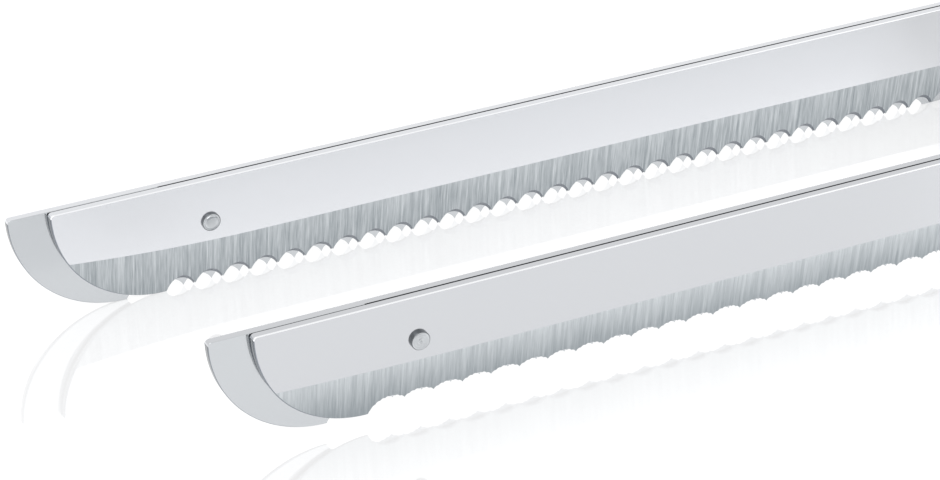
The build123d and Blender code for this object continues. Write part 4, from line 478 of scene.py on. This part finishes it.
def blade_patches(settings, node, toothing, side):
    """Skin of one blade: quarter-round tip, flat faces, ground bevel, toothed edge, heel and tang."""
    low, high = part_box(node)
    inner = low.y if side > 0 else high.y
    thickness = high.y - low.y
    edge_z = high.z - settings.height
    turn = np.linspace(0, math.pi / 2, ROUND_STEPS)
    fine = settings.tooth_pitch / TOOTH_STEPS
    radius = settings.slot_half_height
    straight = settings.slot_half_length - radius
    stations = [settings.tip_reach * (1 - np.cos(turn)),
                settings.tip_corner * (1 - np.cos(turn[::6])),
                np.arange(settings.tip_reach, settings.length - settings.heel_corner, fine * 3),
                settings.length - settings.heel_corner * (1 - np.sin(turn[::6]))]
    if toothing == "bread":
        stations.append(np.arange(settings.bread_first - settings.tooth_pitch / 6,
                                  settings.length - settings.plain_heel + settings.tooth_pitch, fine))
    else:
        corner_x = carving_corners(settings)[0]
        shares = np.linspace(0, 1, SMALL_TOOTH_STEPS, endpoint=False)
        stations.append((corner_x[:-1, None] + np.diff(corner_x)[:, None] * shares).ravel())
        stations.append(corner_x[-1] + np.array([0, 2 * SMALLEST_STEP]))
    if side > 0:
        end = radius * np.cos(np.linspace(0, math.pi, 25))
        stations.append(settings.slot_reach + straight + end)
        stations.append(settings.slot_reach - straight + end)
    x = np.unique(np.round(np.concatenate(stations), 9))
    x = x[(x >= 0) & (x <= settings.length)]
    x = x[np.concatenate([[True], np.diff(x) > SMALLEST_STEP])]

    near_tip = np.clip((settings.lift_reach - np.append(x, settings.length)) / settings.lift_reach, 0, 1)
    lift = settings.bread_lift if toothing == "bread" else settings.carving_lift
    bevel = settings.bevel_height + lift * near_tip**2

    def width(z):
        share = np.clip(z / bevel[:len(z)], 0, 1)
        return settings.edge_thickness + (thickness - settings.edge_thickness) * share

    def teeth(depth):
        if toothing == "bread":
            return bread_teeth(settings, x, (depth + settings.blade_gap / 2) / thickness)
        return carving_teeth(settings, x)

    arc_share = np.clip((settings.tip_reach - x) / settings.tip_reach, 0, 1)
    arc = settings.height * (1 - np.sqrt(1 - arc_share**2))
    heel = corner_drop(settings.length - x, settings.heel_corner)
    upper = settings.height - corner_drop(x, settings.tip_corner) - heel
    lower_in = np.minimum(np.maximum.reduce([arc, heel, teeth(0)]), upper)
    lower_out = lower_in
    for _ in range(5):
        lower_out = np.minimum(np.maximum.reduce([arc, heel, teeth(width(lower_out))]), upper)
    distance = np.maximum(np.abs(x - settings.slot_reach) - straight, 0)
    half = np.sqrt(np.maximum(radius**2 - distance**2, 0)) * (side > 0)
    fade = np.clip((RIM_FADE[1] - x / settings.tip_reach) / (RIM_FADE[1] - RIM_FADE[0]), 0, 1)
    lower_rim = np.minimum(settings.rim * fade, 0.45 * width(lower_out))
    upper_rim = np.full(len(x), settings.rim)
    inner_rim = np.full(len(x), settings.inner_rim)
    shown = settings.lead + settings.tip_reach
    # Painted shade: the stretch of the inner face that the other blade of the pair covers gets the
    # near-black gap colour.
    shaded_stretch = (shown, settings.length) if side > 0 else (0, settings.length - shown)

    def close(values, last):
        return np.append(values, last)

    tang_top = settings.tang_rise + settings.tang_height
    body = plate_patches(
        close(x, settings.length), close(upper, tang_top), close(lower_out, settings.tang_rise),
        close(lower_in, settings.tang_rise), width,
        (close(upper_rim, settings.rim), close(lower_rim, 0), close(inner_rim, settings.inner_rim)),
        {"height": settings.height - settings.slot_drop, "half": close(half, 0),
         "bevel": bevel}, shaded_stretch, settings.tip_reach, (0, 1, 2, 3, 4, 5, 6))
    tang_length = high.x - low.x - settings.length
    tang_x = np.concatenate([np.linspace(0, tang_length - settings.tang_corner, 12),
                             tang_length - settings.tang_corner * (1 - np.sin(turn[4::6]))])
    drop = corner_drop(tang_length - tang_x, settings.tang_corner)
    middle = settings.tang_rise + settings.tang_height / 2
    rim = np.append(np.full(len(tang_x), settings.rim), 0)
    tang_low = close(settings.tang_rise + drop, middle)
    tang = plate_patches(
        close(settings.length + tang_x, settings.length + tang_length), close(tang_top - drop, middle),
        tang_low, tang_low, lambda z: thickness + 0 * z, (rim, rim, rim / 2),
        {"height": middle, "half": 0 * rim, "bevel": settings.tang_rise},
        (settings.length, settings.length), 0, (0,) * 7)
    placed = []
    for grid, outward, mark in body + tang:
        moved = np.stack([low.x + grid[..., 0], inner + side * grid[..., 1], edge_z + grid[..., 2]],
                         axis=-1)
        placed.append((moved, (outward[0], side * outward[1], outward[2]), mark))
    return placed


def turned_patch(profile, x, z):
    """Skin of a turned part on an axis along Y: a profile of radius and depth goes round in a circle.

    It faces to the left of the line from the profile's first point to its last.
    """
    angle = np.linspace(0, 2 * math.pi, ROUND_STEPS + 1)
    radius, depth = np.array(profile).T[:, :, None] + 0 * angle
    grid = np.stack([x + radius * np.cos(angle), depth, z + radius * np.sin(angle)], axis=-1)
    out, along = np.array(profile[-1]) - profile[0]

    def outward(centres):
        radial = (centres - (x, 0, z)) * (1, 0, 1)
        radial /= np.maximum(np.linalg.norm(radial, axis=1, keepdims=True), SMALLEST_LENGTH)
        return np.array([0, 1, 0]) * out - radial * along

    return grid, outward


def turned_piece(name, profiles, x, z, finishes, body, node):
    """Turned piece with a sharp edge wherever one profile ends.

    The first profile, the wall of the head, has the second finish, a dark colour painted as the shade
    beside the head.
    """
    patches = [(*turned_patch(profile, x, z), int(number == 0))
               for number, profile in enumerate(profiles)]
    return make_piece(name, patches, finishes, body, node)


def coil_piece(name, node, wire, turns, axis, finish, body):
    """Coil spring: a round wire follows a helix that fills the CAD spring's box along one axis.

    The other two axes are left-handed round axis 1, so there the wire's circle runs the other way.
    """
    low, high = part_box(node)
    size, middle = high - low, (high + low) / 2
    across = [i for i in range(3) if i != axis]
    radius = (max(size[across[0]], size[across[1]]) - wire) / 2
    turn = np.linspace(0, 2 * math.pi * turns, int(turns * TURN_STEPS) + 1)
    way = -1 if axis == 1 else 1
    around = way * np.linspace(0, 2 * math.pi, WIRE_SIDES + 1)[:, None]
    reach = radius + wire / 2 * np.cos(around)
    grid = np.empty((len(around), len(turn), 3))
    grid[..., across[0]] = middle[across[0]] + reach * np.cos(turn)
    grid[..., across[1]] = middle[across[1]] + reach * np.sin(turn)
    rise = (size[axis] - wire) * (turn / turn[-1] - 0.5)
    grid[..., axis] = middle[axis] + rise + wire / 2 * np.sin(around)
    centres = grid[:-1].mean(axis=0)
    patches = [(grid, None, 0)]
    for end, inside in ((0, 1), (-1, -2)):
        cap = np.stack([grid[:, end], np.repeat(centres[None, end], len(around), axis=0)])
        patches.append((cap, centres[end] - centres[inside], 0))
    return make_piece(name, patches, [finish], body, node)


# Shader groups

GREY = (0.5, 0.5, 0.5, 1)
RESULTS = {"Colour": ("NodeSocketColor", "Base Color"), "Roughness": ("NodeSocketFloat", "Roughness"),
           "Normal": ("NodeSocketVector", "Normal")}


def add_node(tree, kind, inputs, **settings):
    """A node with its settings; each of its inputs gets a source to link or a value."""
    node = tree.nodes.new(kind)
    for key, value in settings.items():
        setattr(node, key, value)
    for key, source in inputs.items():
        if isinstance(source, bpy.types.NodeSocket):
            tree.links.new(source, node.inputs[key])
        else:
            node.inputs[key].default_value = source
    return node


def maths(tree, operation, *inputs, clamp=False):
    """Result of a sum of sockets or numbers."""
    return add_node(tree, "ShaderNodeMath", dict(enumerate(inputs)), operation=operation,
                    use_clamp=clamp).outputs[0]


def noise(tree, place, scale, detail):
    """Value of a noise over the place."""
    return add_node(tree, "ShaderNodeTexNoise",
                    {"Vector": place, "Scale": scale, "Detail": detail}).outputs["Fac"]


def spread(tree, value, **limits):
    """A value carried from one span to another."""
    named = {key.replace("_", " ").title(): limit for key, limit in limits.items()}
    return add_node(tree, "ShaderNodeMapRange", {"Value": value, **named}).outputs[0]


def mixed(tree, factor, first, second):
    """Colour mix of two sources."""
    return add_node(tree, "ShaderNodeMix", {"Factor": factor, 6: first, 7: second},
                    data_type="RGBA").outputs[2]


def bumped(tree, height, strength, distance):
    """Normal of a surface whose relief follows the height."""
    return add_node(tree, "ShaderNodeBump", {"Height": height, "Strength": strength,
                                             "Distance": distance}).outputs["Normal"]


def open_group(name, inputs):
    """A new shader group: None makes a vector input, four numbers a colour and one number a value."""
    tree = bpy.data.node_groups.new(name, "ShaderNodeTree")
    for label, value in inputs.items():
        kind = "Vector" if value is None else "Color" if isinstance(value, tuple) else "Float"
        socket = tree.interface.new_socket(name=label, in_out="INPUT", socket_type="NodeSocket" + kind)
        if value is not None:
            socket.default_value = value
    return tree, tree.nodes.new("NodeGroupInput").outputs


def close_group(tree, sources):
    """Puts the group's results out under their names."""
    for label in sources:
        tree.interface.new_socket(name=label, in_out="OUTPUT", socket_type=RESULTS[label][0])
    end = tree.nodes.new("NodeGroupOutput")
    for label, source in sources.items():
        tree.links.new(source, end.inputs[label])
    return tree


def moulded_group():
    """Moulded or cast skin: a slow tone drift, an uneven gloss and a fine grain."""
    tree, given = open_group("moulded skin", {
        "Vector": None, "Colour": GREY, "Drift": 0.06, "Drift Scale": 30.0, "Roughness": 0.4,
        "Gloss Change": 0.08, "Grain Scale": 1800.0, "Grain": 0.1})
    drift = noise(tree, given["Vector"], given["Drift Scale"], 3.0)
    grain = noise(tree, given["Vector"], given["Grain Scale"], 2.0)
    darker = add_node(tree, "ShaderNodeHueSaturation", {"Color": given["Colour"], "Value": 0.6})
    shade = maths(tree, "MULTIPLY", drift, given["Drift"])
    uneven = maths(tree, "SUBTRACT", drift, 0.5)
    return close_group(tree, {
        "Colour": mixed(tree, shade, given["Colour"], darker.outputs[0]),
        "Roughness": maths(tree, "MULTIPLY_ADD", uneven, given["Gloss Change"], given["Roughness"]),
        "Normal": bumped(tree, grain, given["Grain"], 0.0001)})


def streak_group():
    """Ground steel: fine lines square to the edge, in clumps, that darken towards the edge."""
    tree, given = open_group("ground streaks", {
        "Vector": None, "Light": GREY, "Dark": (0.3, 0.3, 0.3, 1), "Lines": 3500.0, "Stretch": 0.03,
        "Foot": 0.002, "Rise": 0.008, "Fall": 0.4, "Contrast": 1.0})
    parts = add_node(tree, "ShaderNodeSeparateXYZ", {"Vector": given["Vector"]}).outputs
    flat = maths(tree, "MULTIPLY", parts["Z"], given["Stretch"])
    squeezed = add_node(tree, "ShaderNodeCombineXYZ", {"X": parts["X"], "Z": flat}).outputs[0]
    fine = noise(tree, squeezed, given["Lines"], 3.0)
    clump = noise(tree, squeezed, maths(tree, "MULTIPLY", given["Lines"], 0.22), 2.0)
    both = spread(tree, maths(tree, "ADD", fine, clump), from_min=0.72, from_max=1.28)
    lowness = maths(tree, "SUBTRACT", parts["Z"], given["Foot"])
    deep = maths(tree, "SUBTRACT", 1.0, maths(tree, "DIVIDE", lowness, given["Rise"], clamp=True))
    tone = maths(tree, "ADD", maths(tree, "MULTIPLY", both, given["Contrast"]),
                 maths(tree, "MULTIPLY", deep, given["Fall"]), clamp=True)
    return close_group(tree, {
        "Colour": mixed(tree, tone, given["Light"], given["Dark"]),
        "Roughness": spread(tree, fine, to_min=0.28, to_max=0.46),
        "Normal": bumped(tree, fine, 0.12, 0.00005)})


def painted_end_band_group():
    """Painted bands of light and shade along a narrow end face: the tone follows the depth, from near to
    far across its width, standing in for reflections and the dark shadow line by the gap.
    """
    tree, given = open_group("painted end bands", {"Vector": None, "Near": 0.0, "Width": 0.0014})
    parts = add_node(tree, "ShaderNodeSeparateXYZ", {"Vector": given["Vector"]}).outputs
    inside = maths(tree, "SUBTRACT", parts["Y"], given["Near"])
    share = maths(tree, "DIVIDE", inside, given["Width"], clamp=True)
    ramp = add_node(tree, "ShaderNodeValToRGB", {"Fac": share})
    stops = ramp.color_ramp.elements
    # Painted light and shade: light and near-black stops stand in for the reflections on the end face and
    # the shadow line along the gap.
    stops[0].color = (0.42, 0.45, 0.47, 1)
    stops[1].color = (0.10, 0.11, 0.12, 1)
    for place, tone in ((0.22, 0.05), (0.42, 0.30), (0.58, 0.42), (0.76, 0.12)):
        stops.new(place).color = (tone, tone * 1.04, tone * 1.08, 1)
    return close_group(tree, {"Colour": ramp.outputs["Color"]})


GROUPS = {"moulded skin": moulded_group, "ground streaks": streak_group, "painted end bands": painted_end_band_group}


def group_finish(name, kind, look, **sockets):
    """A material that takes its looks from a shader group, and the rest from the shader's own sockets."""
    finish = bpy.data.materials.get(name)
    if finish:
        return finish
    finish = bpy.data.materials.new(name)
    finish.use_nodes = True
    tree = finish.node_tree
    shader = tree.nodes["Principled BSDF"]
    place = tree.nodes.new("ShaderNodeTexCoord").outputs["Object"]
    group = tree.nodes.new("ShaderNodeGroup")
    group.node_tree = bpy.data.node_groups.get(kind) or GROUPS[kind]()
    tree.links.new(place, group.inputs["Vector"])
    for label, value in look.items():
        group.inputs[label].default_value = value
    for socket in group.outputs:
        tree.links.new(socket, shader.inputs[RESULTS[socket.name][1]])
    for key, value in sockets.items():
        shader.inputs[key.replace("_", " ").title()].default_value = value
    return finish


def moulded_finish(name, colour, drift=0.1, drift_scale=30.0, roughness=0.4, gloss_change=0.08,
                   grain_scale=1800.0, grain=0.1, **sockets):
    """A finish that uses the moulded skin group."""
    look = {"Colour": (*colour, 1), "Drift": drift, "Drift Scale": drift_scale, "Roughness": roughness,
            "Gloss Change": gloss_change, "Grain Scale": grain_scale, "Grain": grain}
    return group_finish(name, "moulded skin", look, **sockets)


def paint(nodes, name, colour, **values):
    """Gives CAD nodes one moulded finish, and returns it."""
    finish = moulded_finish(name, colour, **values)
    for node in nodes:
        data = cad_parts[node].data
        data.materials.clear()
        data.materials.append(finish)
    return finish


# Operators

class KNIFE_OT_blades(bpy.types.Operator):
    """Builds the skins of the carving pair and of the bread pair"""
    bl_idname = "knife.blades"
    bl_label = "Blades"

    def execute(self, context):
        sizes, colours = context.scene.knife_blades, context.scene.knife_colours
        inner = moulded_finish("inner steel", colours.inner_steel, metallic=1.0, roughness=0.14,
                               drift=0.05, drift_scale=14.0, grain=0.01)
        # Partly painted shade: dark steel on the real scallop facets and the cutting edge.
        edge = moulded_finish("scallop steel with painted shade", colours.edge, metallic=1.0, roughness=0.3, drift=0.2,
                              drift_scale=700.0, grain=0.05)
        # Painted highlight: near-white steel on the real rounded edges.
        rim = moulded_finish("rim highlight steel", colours.rim, metallic=1.0, roughness=0.12, drift=0.02)
        # Painted shade: near-black steel standing in for the shade in the gap between the blades.
        gap_shade = moulded_finish("painted gap shade", colours.gap_shade, metallic=0.6, roughness=0.5, drift=0.3,
                              drift_scale=200.0)
        for toothing, bodies, tone, gloss, fall, contrast in (
                ("carving", ("drive_near", "drive_far"), colours.carving_steel, 0.12, 0.8, 0.55),
                ("bread", ("handle", "spare_far"), colours.bread_steel, 0.2, 0.35, 0.9)):
            polished = moulded_finish(
                f"{toothing} steel", tone, metallic=1.0, roughness=gloss, drift=0.05, drift_scale=14.0,
                gloss_change=0.06, grain_scale=900.0, grain=0.01)
            ground = group_finish(f"{toothing} bevel", "ground streaks", {
                "Light": (*colours.ground_light, 1), "Dark": (*colours.ground_dark, 1),
                "Foot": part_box(f"{toothing}_blade_near")[1].z - sizes.height,
                "Rise": sizes.bevel_height, "Fall": fall, "Contrast": contrast, "Lines": 8500.0},
                metallic=1.0)
            for side, place, body in ((-1, "near", bodies[0]), (1, "far", bodies[1])):
                node = f"{toothing}_blade_{place}"
                low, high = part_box(node)
                # The end faces get the painted bands of light and shade.
                end = group_finish(f"{node} end", "painted end bands", {"Near": low.y, "Width": high.y - low.y},
                                   metallic=1.0, roughness=0.25)
                make_piece(f"{node}_skin", blade_patches(sizes, node, toothing, side),
                           [polished, ground, edge, rim, gap_shade, inner, end], body, node)
        return {"FINISHED"}


class KNIFE_OT_rivets(bpy.types.Operator):
    """Builds the turned rivets of the two pairs"""
    bl_idname = "knife.rivets"
    bl_label = "Rivets"

    def execute(self, context):
        sizes, colours = context.scene.knife_small_parts, context.scene.knife_colours
        face = moulded_finish("rivet steel", colours.rivet, metallic=1.0, roughness=0.24, drift=0.4,
                              drift_scale=1500.0, grain_scale=2600.0, grain=0.2)
        # Painted shade: a dark copy of the rivet steel on the heads' side walls.
        wall = moulded_finish("rivet wall shade", colours.rivet_wall_shade, metallic=1.0, roughness=0.3, drift=0.3,
                              drift_scale=900.0)
        head, tail, pin = sizes.head_radius, sizes.tail_radius, sizes.rivet_radius
        for node, body, domed in (("carving_rivet", "drive_near", False),
                                  ("bread_rivet", "handle", True)):
            low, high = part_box(node)
            x, z = (low.x + high.x) / 2, (low.z + high.z) / 2
            seat, front = low.y + sizes.head_height, low.y
            back, end = high.y - sizes.tail_height, high.y
            tall = sizes.head_height
            arc = np.linspace(0, math.pi / 2, 9)
            if domed:
                step = [(head * 0.76, front + tall * 0.42)]
                rim = [(head * (0.92 + 0.08 * math.cos(a)), front + tall * (0.45 - 0.12 * math.sin(a)))
                       for a in arc]
                dome = [(head * 0.74 * math.cos(a), front + tall * 0.36 * (1 - math.sin(a)))
                        for a in arc]
                faces = [[(head, seat)] + rim, [rim[-1]] + step, [step[-1], dome[0]], dome]
            else:
                rim = [(head - tall * 0.2 * (1 - math.cos(a)), front + tall * 0.2 * (1 - math.sin(a)))
                       for a in arc]
                rings = [(head * s, front + tall * d) for s, d in
                         ((0.80, 0.03), (0.77, 0.13), (0.73, 0.03), (0.59, 0.03), (0.56, 0.12),
                          (0.52, 0.03), (0.27, 0.03), (0.22, 0.22), (0.10, 0.24), (0.06, 0.03),
                          (0.0, 0.0))]
                faces = [[(head, seat)] + rim, [rim[-1]] + rings]
            closing = [(tail - sizes.tail_height * 0.5 * (1 - math.cos(a)),
                        end - sizes.tail_height * 0.5 * (1 - math.sin(a))) for a in arc]
            faces += [[(pin, seat), (head, seat)], [(pin, back), (pin, seat)], [(tail, back), (pin, back)],
                      [(0.0, end), closing[-1]], closing[::-1] + [(tail, back)]]
            turned_piece(f"{node}_skin", faces, x, z, [face, wall], body, node)
        return {"FINISHED"}


class KNIFE_OT_springs(bpy.types.Operator):
    """Builds the four return springs"""
    bl_idname = "knife.springs"
    bl_label = "Springs"

    def execute(self, context):
        sizes = context.scene.knife_small_parts
        finish = paint(("brush_springs",), "spring wire", (0.42, 0.43, 0.45), metallic=1.0,
                       roughness=0.25, drift=0.2, drift_scale=400.0)
        trigger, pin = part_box("trigger_spring"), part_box("trigger_pin")
        middle = (pin[0].x + pin[1].x) / 2
        lift = max(abs(corner.x - middle) for corner in trigger) * math.tan(sizes.trigger_swing)
        for node, axis, seat_end, wire, turns, joint, stroke in (
                ("release_spring_near", 1, 1, sizes.release_wire, sizes.release_turns,
                 "release_press_near", sizes.release_stroke),
                ("release_spring_far", 1, 0, sizes.release_wire, sizes.release_turns,
                 "release_press_far", sizes.release_stroke),
                ("lock_spring", 1, 1, sizes.lock_wire, sizes.lock_turns, "lock_press",
                 sizes.lock_stroke),
                ("trigger_spring", 2, 1, sizes.trigger_wire, sizes.trigger_turns, "trigger_pull", lift)):
            spring = coil_piece(f"{node}_skin", node, wire, turns, axis, finish, "handle")
            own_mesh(spring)
        return {"FINISHED"}


class KNIFE_OT_handle(bpy.types.Operator):
    """Finishes the shells, the grip and the controls"""
    bl_idname = "knife.handle"
    bl_label = "Handle"

    def execute(self, context):
        colours = context.scene.knife_colours
        paint(("housing_near", "housing_far"), "shell plastic", colours.shell, roughness=0.32,
              drift=0.04, drift_scale=12.0, gloss_change=0.05, grain_scale=2400.0, grain=0.06,
              coat_weight=0.25, coat_roughness=0.2)
        paint(("nose_collar", "release_button_near", "release_button_far", "trigger", "lock_button",
               "cord_inlet", "carving_shank_near", "carving_shank_far", "bread_shank_near",
               "bread_shank_far"), "dark plastic", colours.dark, roughness=0.42, drift=0.25,
              drift_scale=40.0, grain_scale=2600.0, grain=0.25)
        paint(("grip_pad", "base_pad"), "soft grip", colours.grip, roughness=0.62, drift=0.3,
              drift_scale=60.0, grain_scale=1500.0, grain=0.5, sheen_weight=0.15)
        paint(("housing_screws", "motor_screws"), "plated screw", (0.42, 0.43, 0.44), metallic=1.0,
              roughness=0.3, drift=0.3, drift_scale=300.0)
        return {"FINISHED"}


class KNIFE_OT_drive(bpy.types.Operator):
    """Finishes the gear train, the forks, the latches and the motor"""
    bl_idname = "knife.drive"
    bl_label = "Drive"

    def execute(self, context):
        paint(("worm_wheel", "eccentric_cams"), "gear plastic", (0.72, 0.68, 0.55), roughness=0.38,
              drift=0.15, drift_scale=80.0, subsurface_weight=0.05)
        paint(("driver_near", "driver_far", "gear_frame", "blade_guide", "motor_end_cap",
               "cooling_fan", "latch_near", "latch_far"), "inner plastic", (0.26, 0.27, 0.27),
              roughness=0.5, drift=0.2, drift_scale=50.0, grain=0.2)
        paint(("worm", "motor_shaft", "wheel_axle", "armature_core", "trigger_pin"), "gear steel",
              (0.36, 0.37, 0.38), metallic=1.0, roughness=0.3, drift=0.25, drift_scale=200.0)
        paint(("motor_can",), "zinc plated can", (0.46, 0.47, 0.46), metallic=1.0, roughness=0.36,
              drift=0.35, drift_scale=90.0, gloss_change=0.25)
        paint(("shaft_bushes",), "sintered bronze", (0.42, 0.25, 0.10), metallic=1.0, roughness=0.45,
              drift=0.4, drift_scale=600.0, grain=0.3)
        paint(("armature_winding", "commutator"), "enamelled copper", (0.50, 0.13, 0.05), metallic=1.0,
              roughness=0.25, drift=0.5, drift_scale=900.0, grain_scale=3000.0, grain=0.6)
        paint(("motor_magnets",), "ferrite", (0.03, 0.03, 0.033), roughness=0.55, drift=0.3,
              drift_scale=200.0, grain=0.3)
        paint(("carbon_brushes",), "carbon", (0.012, 0.012, 0.012), roughness=0.6, drift=0.4,
              drift_scale=400.0, grain=0.4)
        return {"FINISHED"}


class KNIFE_OT_mains(bpy.types.Operator):
    """Finishes the mains parts in the rear of the handle"""
    bl_idname = "knife.mains"
    bl_label = "Mains Parts"

    def execute(self, context):
        paint(("inlet_pins",), "contact brass", (0.60, 0.40, 0.14), metallic=1.0, roughness=0.22,
              drift=0.25, drift_scale=300.0)
        paint(("rectifier_board",), "laminate board", (0.34, 0.22, 0.07), roughness=0.5, drift=0.3,
              drift_scale=150.0)
        paint(("inlet_leads", "motor_leads", "switch_leads"), "wire cover", (0.26, 0.012, 0.01),
              roughness=0.3, drift=0.1, drift_scale=60.0)
        paint(("switch_body", "switch_plunger"), "switch plastic", (0.06, 0.065, 0.07), roughness=0.4,
              drift=0.2, drift_scale=90.0)
        return {"FINISHED"}


class KNIFE_OT_stage(bpy.types.Operator):
    """Builds the floor, the lamps, the surrounding light and the camera"""
    bl_idname = "knife.stage"
    bl_label = "Stage"

    def execute(self, context):
        stage, colours = context.scene.knife_stage, context.scene.knife_colours
        half, level = stage.floor_half_size, cad_low.z - stage.floor_drop
        mesh = bpy.data.meshes.new("floor")
        mesh.from_pydata([(-half, -half, level), (half, -half, level), (half, half, level),
                          (-half, half, level)], [], [(0, 1, 2, 3)])
        floor = bpy.data.objects.new("floor", mesh)
        finish = moulded_finish("floor", colours.floor, roughness=0.03, drift=0.0, gloss_change=0.0,
                                grain=0.0, emission_color=(1, 1, 1, 1),
                                emission_strength=stage.floor_glow)
        finish.node_tree.nodes["Principled BSDF"].inputs["IOR"].default_value = stage.floor_index
        mesh.materials.append(finish)
        made = [floor]
        for name, place, aim, size, power in (
                ("main lamp", (-0.9, -0.7, 1.5), (-0.1, 0, 0.03), 1.4, stage.lamp_power),
                ("fill lamp", (1.2, -0.9, 0.9), (-0.05, 0, 0.05), 1.2, stage.fill_power)):
            data = bpy.data.lights.new(name, "AREA")
            data.size, data.energy = size, power
            lamp = bpy.data.objects.new(name, data)
            lamp.location = place
            lamp.rotation_euler = (Vector(aim) - Vector(place)).to_track_quat("-Z", "Y").to_euler()
            made.append(lamp)
        world = bpy.data.worlds.new("studio")
        world.use_nodes = True
        context.scene.world = world
        sky = world.node_tree
        path = sky.nodes.new("ShaderNodeLightPath").outputs
        seen = maths(sky, "MAXIMUM", path["Is Camera Ray"], path["Is Glossy Ray"])
        background = sky.nodes["Background"].inputs
        background["Color"].default_value = (1, 1, 1, 1)
        sky.links.new(spread(sky, seen, to_min=stage.sky_strength, to_max=1.0), background["Strength"])
        data = bpy.data.cameras.new("camera")
        data.lens, data.sensor_width, data.sensor_fit = stage.lens, 36.0, "HORIZONTAL"
        data.clip_start, data.clip_end = 0.01, 50.0
        camera = bpy.data.objects.new("camera", data)
        camera.location = stage.camera_place
        heading, fall = stage.camera_heading, stage.camera_fall
        ahead = Vector((math.sin(heading) * math.cos(fall), math.cos(heading) * math.cos(fall),
                        -math.sin(fall)))
        camera.rotation_euler = ahead.to_track_quat("-Z", "Y").to_euler()
        made.append(camera)
        for thing in made:
            context.scene.collection.objects.link(thing)
        context.scene.camera = camera
        context.scene.view_settings.view_transform = "Standard"
        return {"FINISHED"}


class KNIFE_PT_panel(bpy.types.Panel):
    """Buttons and sizes of the carving knife"""
    bl_idname = "KNIFE_PT_panel"
    bl_label = "Carving Knife"
    bl_space_type = "VIEW_3D"
    bl_region_type = "UI"
    bl_category = "Knife"

    def draw(self, context):
        for operator in OPERATORS:
            self.layout.operator(operator.bl_idname)
        for name, _ in SETTINGS:
            group = getattr(context.scene, name)
            box = self.layout.box()
            for prop in group.bl_rna.properties:
                if prop.identifier not in ("rna_type", "name"):
                    box.prop(group, prop.identifier)


SETTINGS = (("knife_blades", KnifeBladeSettings), ("knife_small_parts", KnifeSmallPartSettings),
            ("knife_colours", KnifeColourSettings), ("knife_stage", KnifeStageSettings))
OPERATORS = (KNIFE_OT_blades, KNIFE_OT_rivets, KNIFE_OT_springs, KNIFE_OT_handle, KNIFE_OT_drive,
             KNIFE_OT_mains, KNIFE_OT_stage)


def register():
    for name, group in SETTINGS:
        bpy.utils.register_class(group)
        setattr(bpy.types.Scene, name, PointerProperty(type=group))
    for kind in OPERATORS + (KNIFE_PT_panel,):
        bpy.utils.register_class(kind)


def unregister():
    for kind in reversed(OPERATORS + (KNIFE_PT_panel,)):
        bpy.utils.unregister_class(kind)
    for name, group in reversed(SETTINGS):
        delattr(bpy.types.Scene, name)
        bpy.utils.unregister_class(group)


def main():
    register()
    bpy.ops.knife.blades()
    bpy.ops.knife.rivets()
    bpy.ops.knife.springs()
    bpy.ops.knife.handle()
    bpy.ops.knife.drive()
    bpy.ops.knife.mains()
    bpy.ops.knife.stage()


if __name__ == "__main__":
    main()
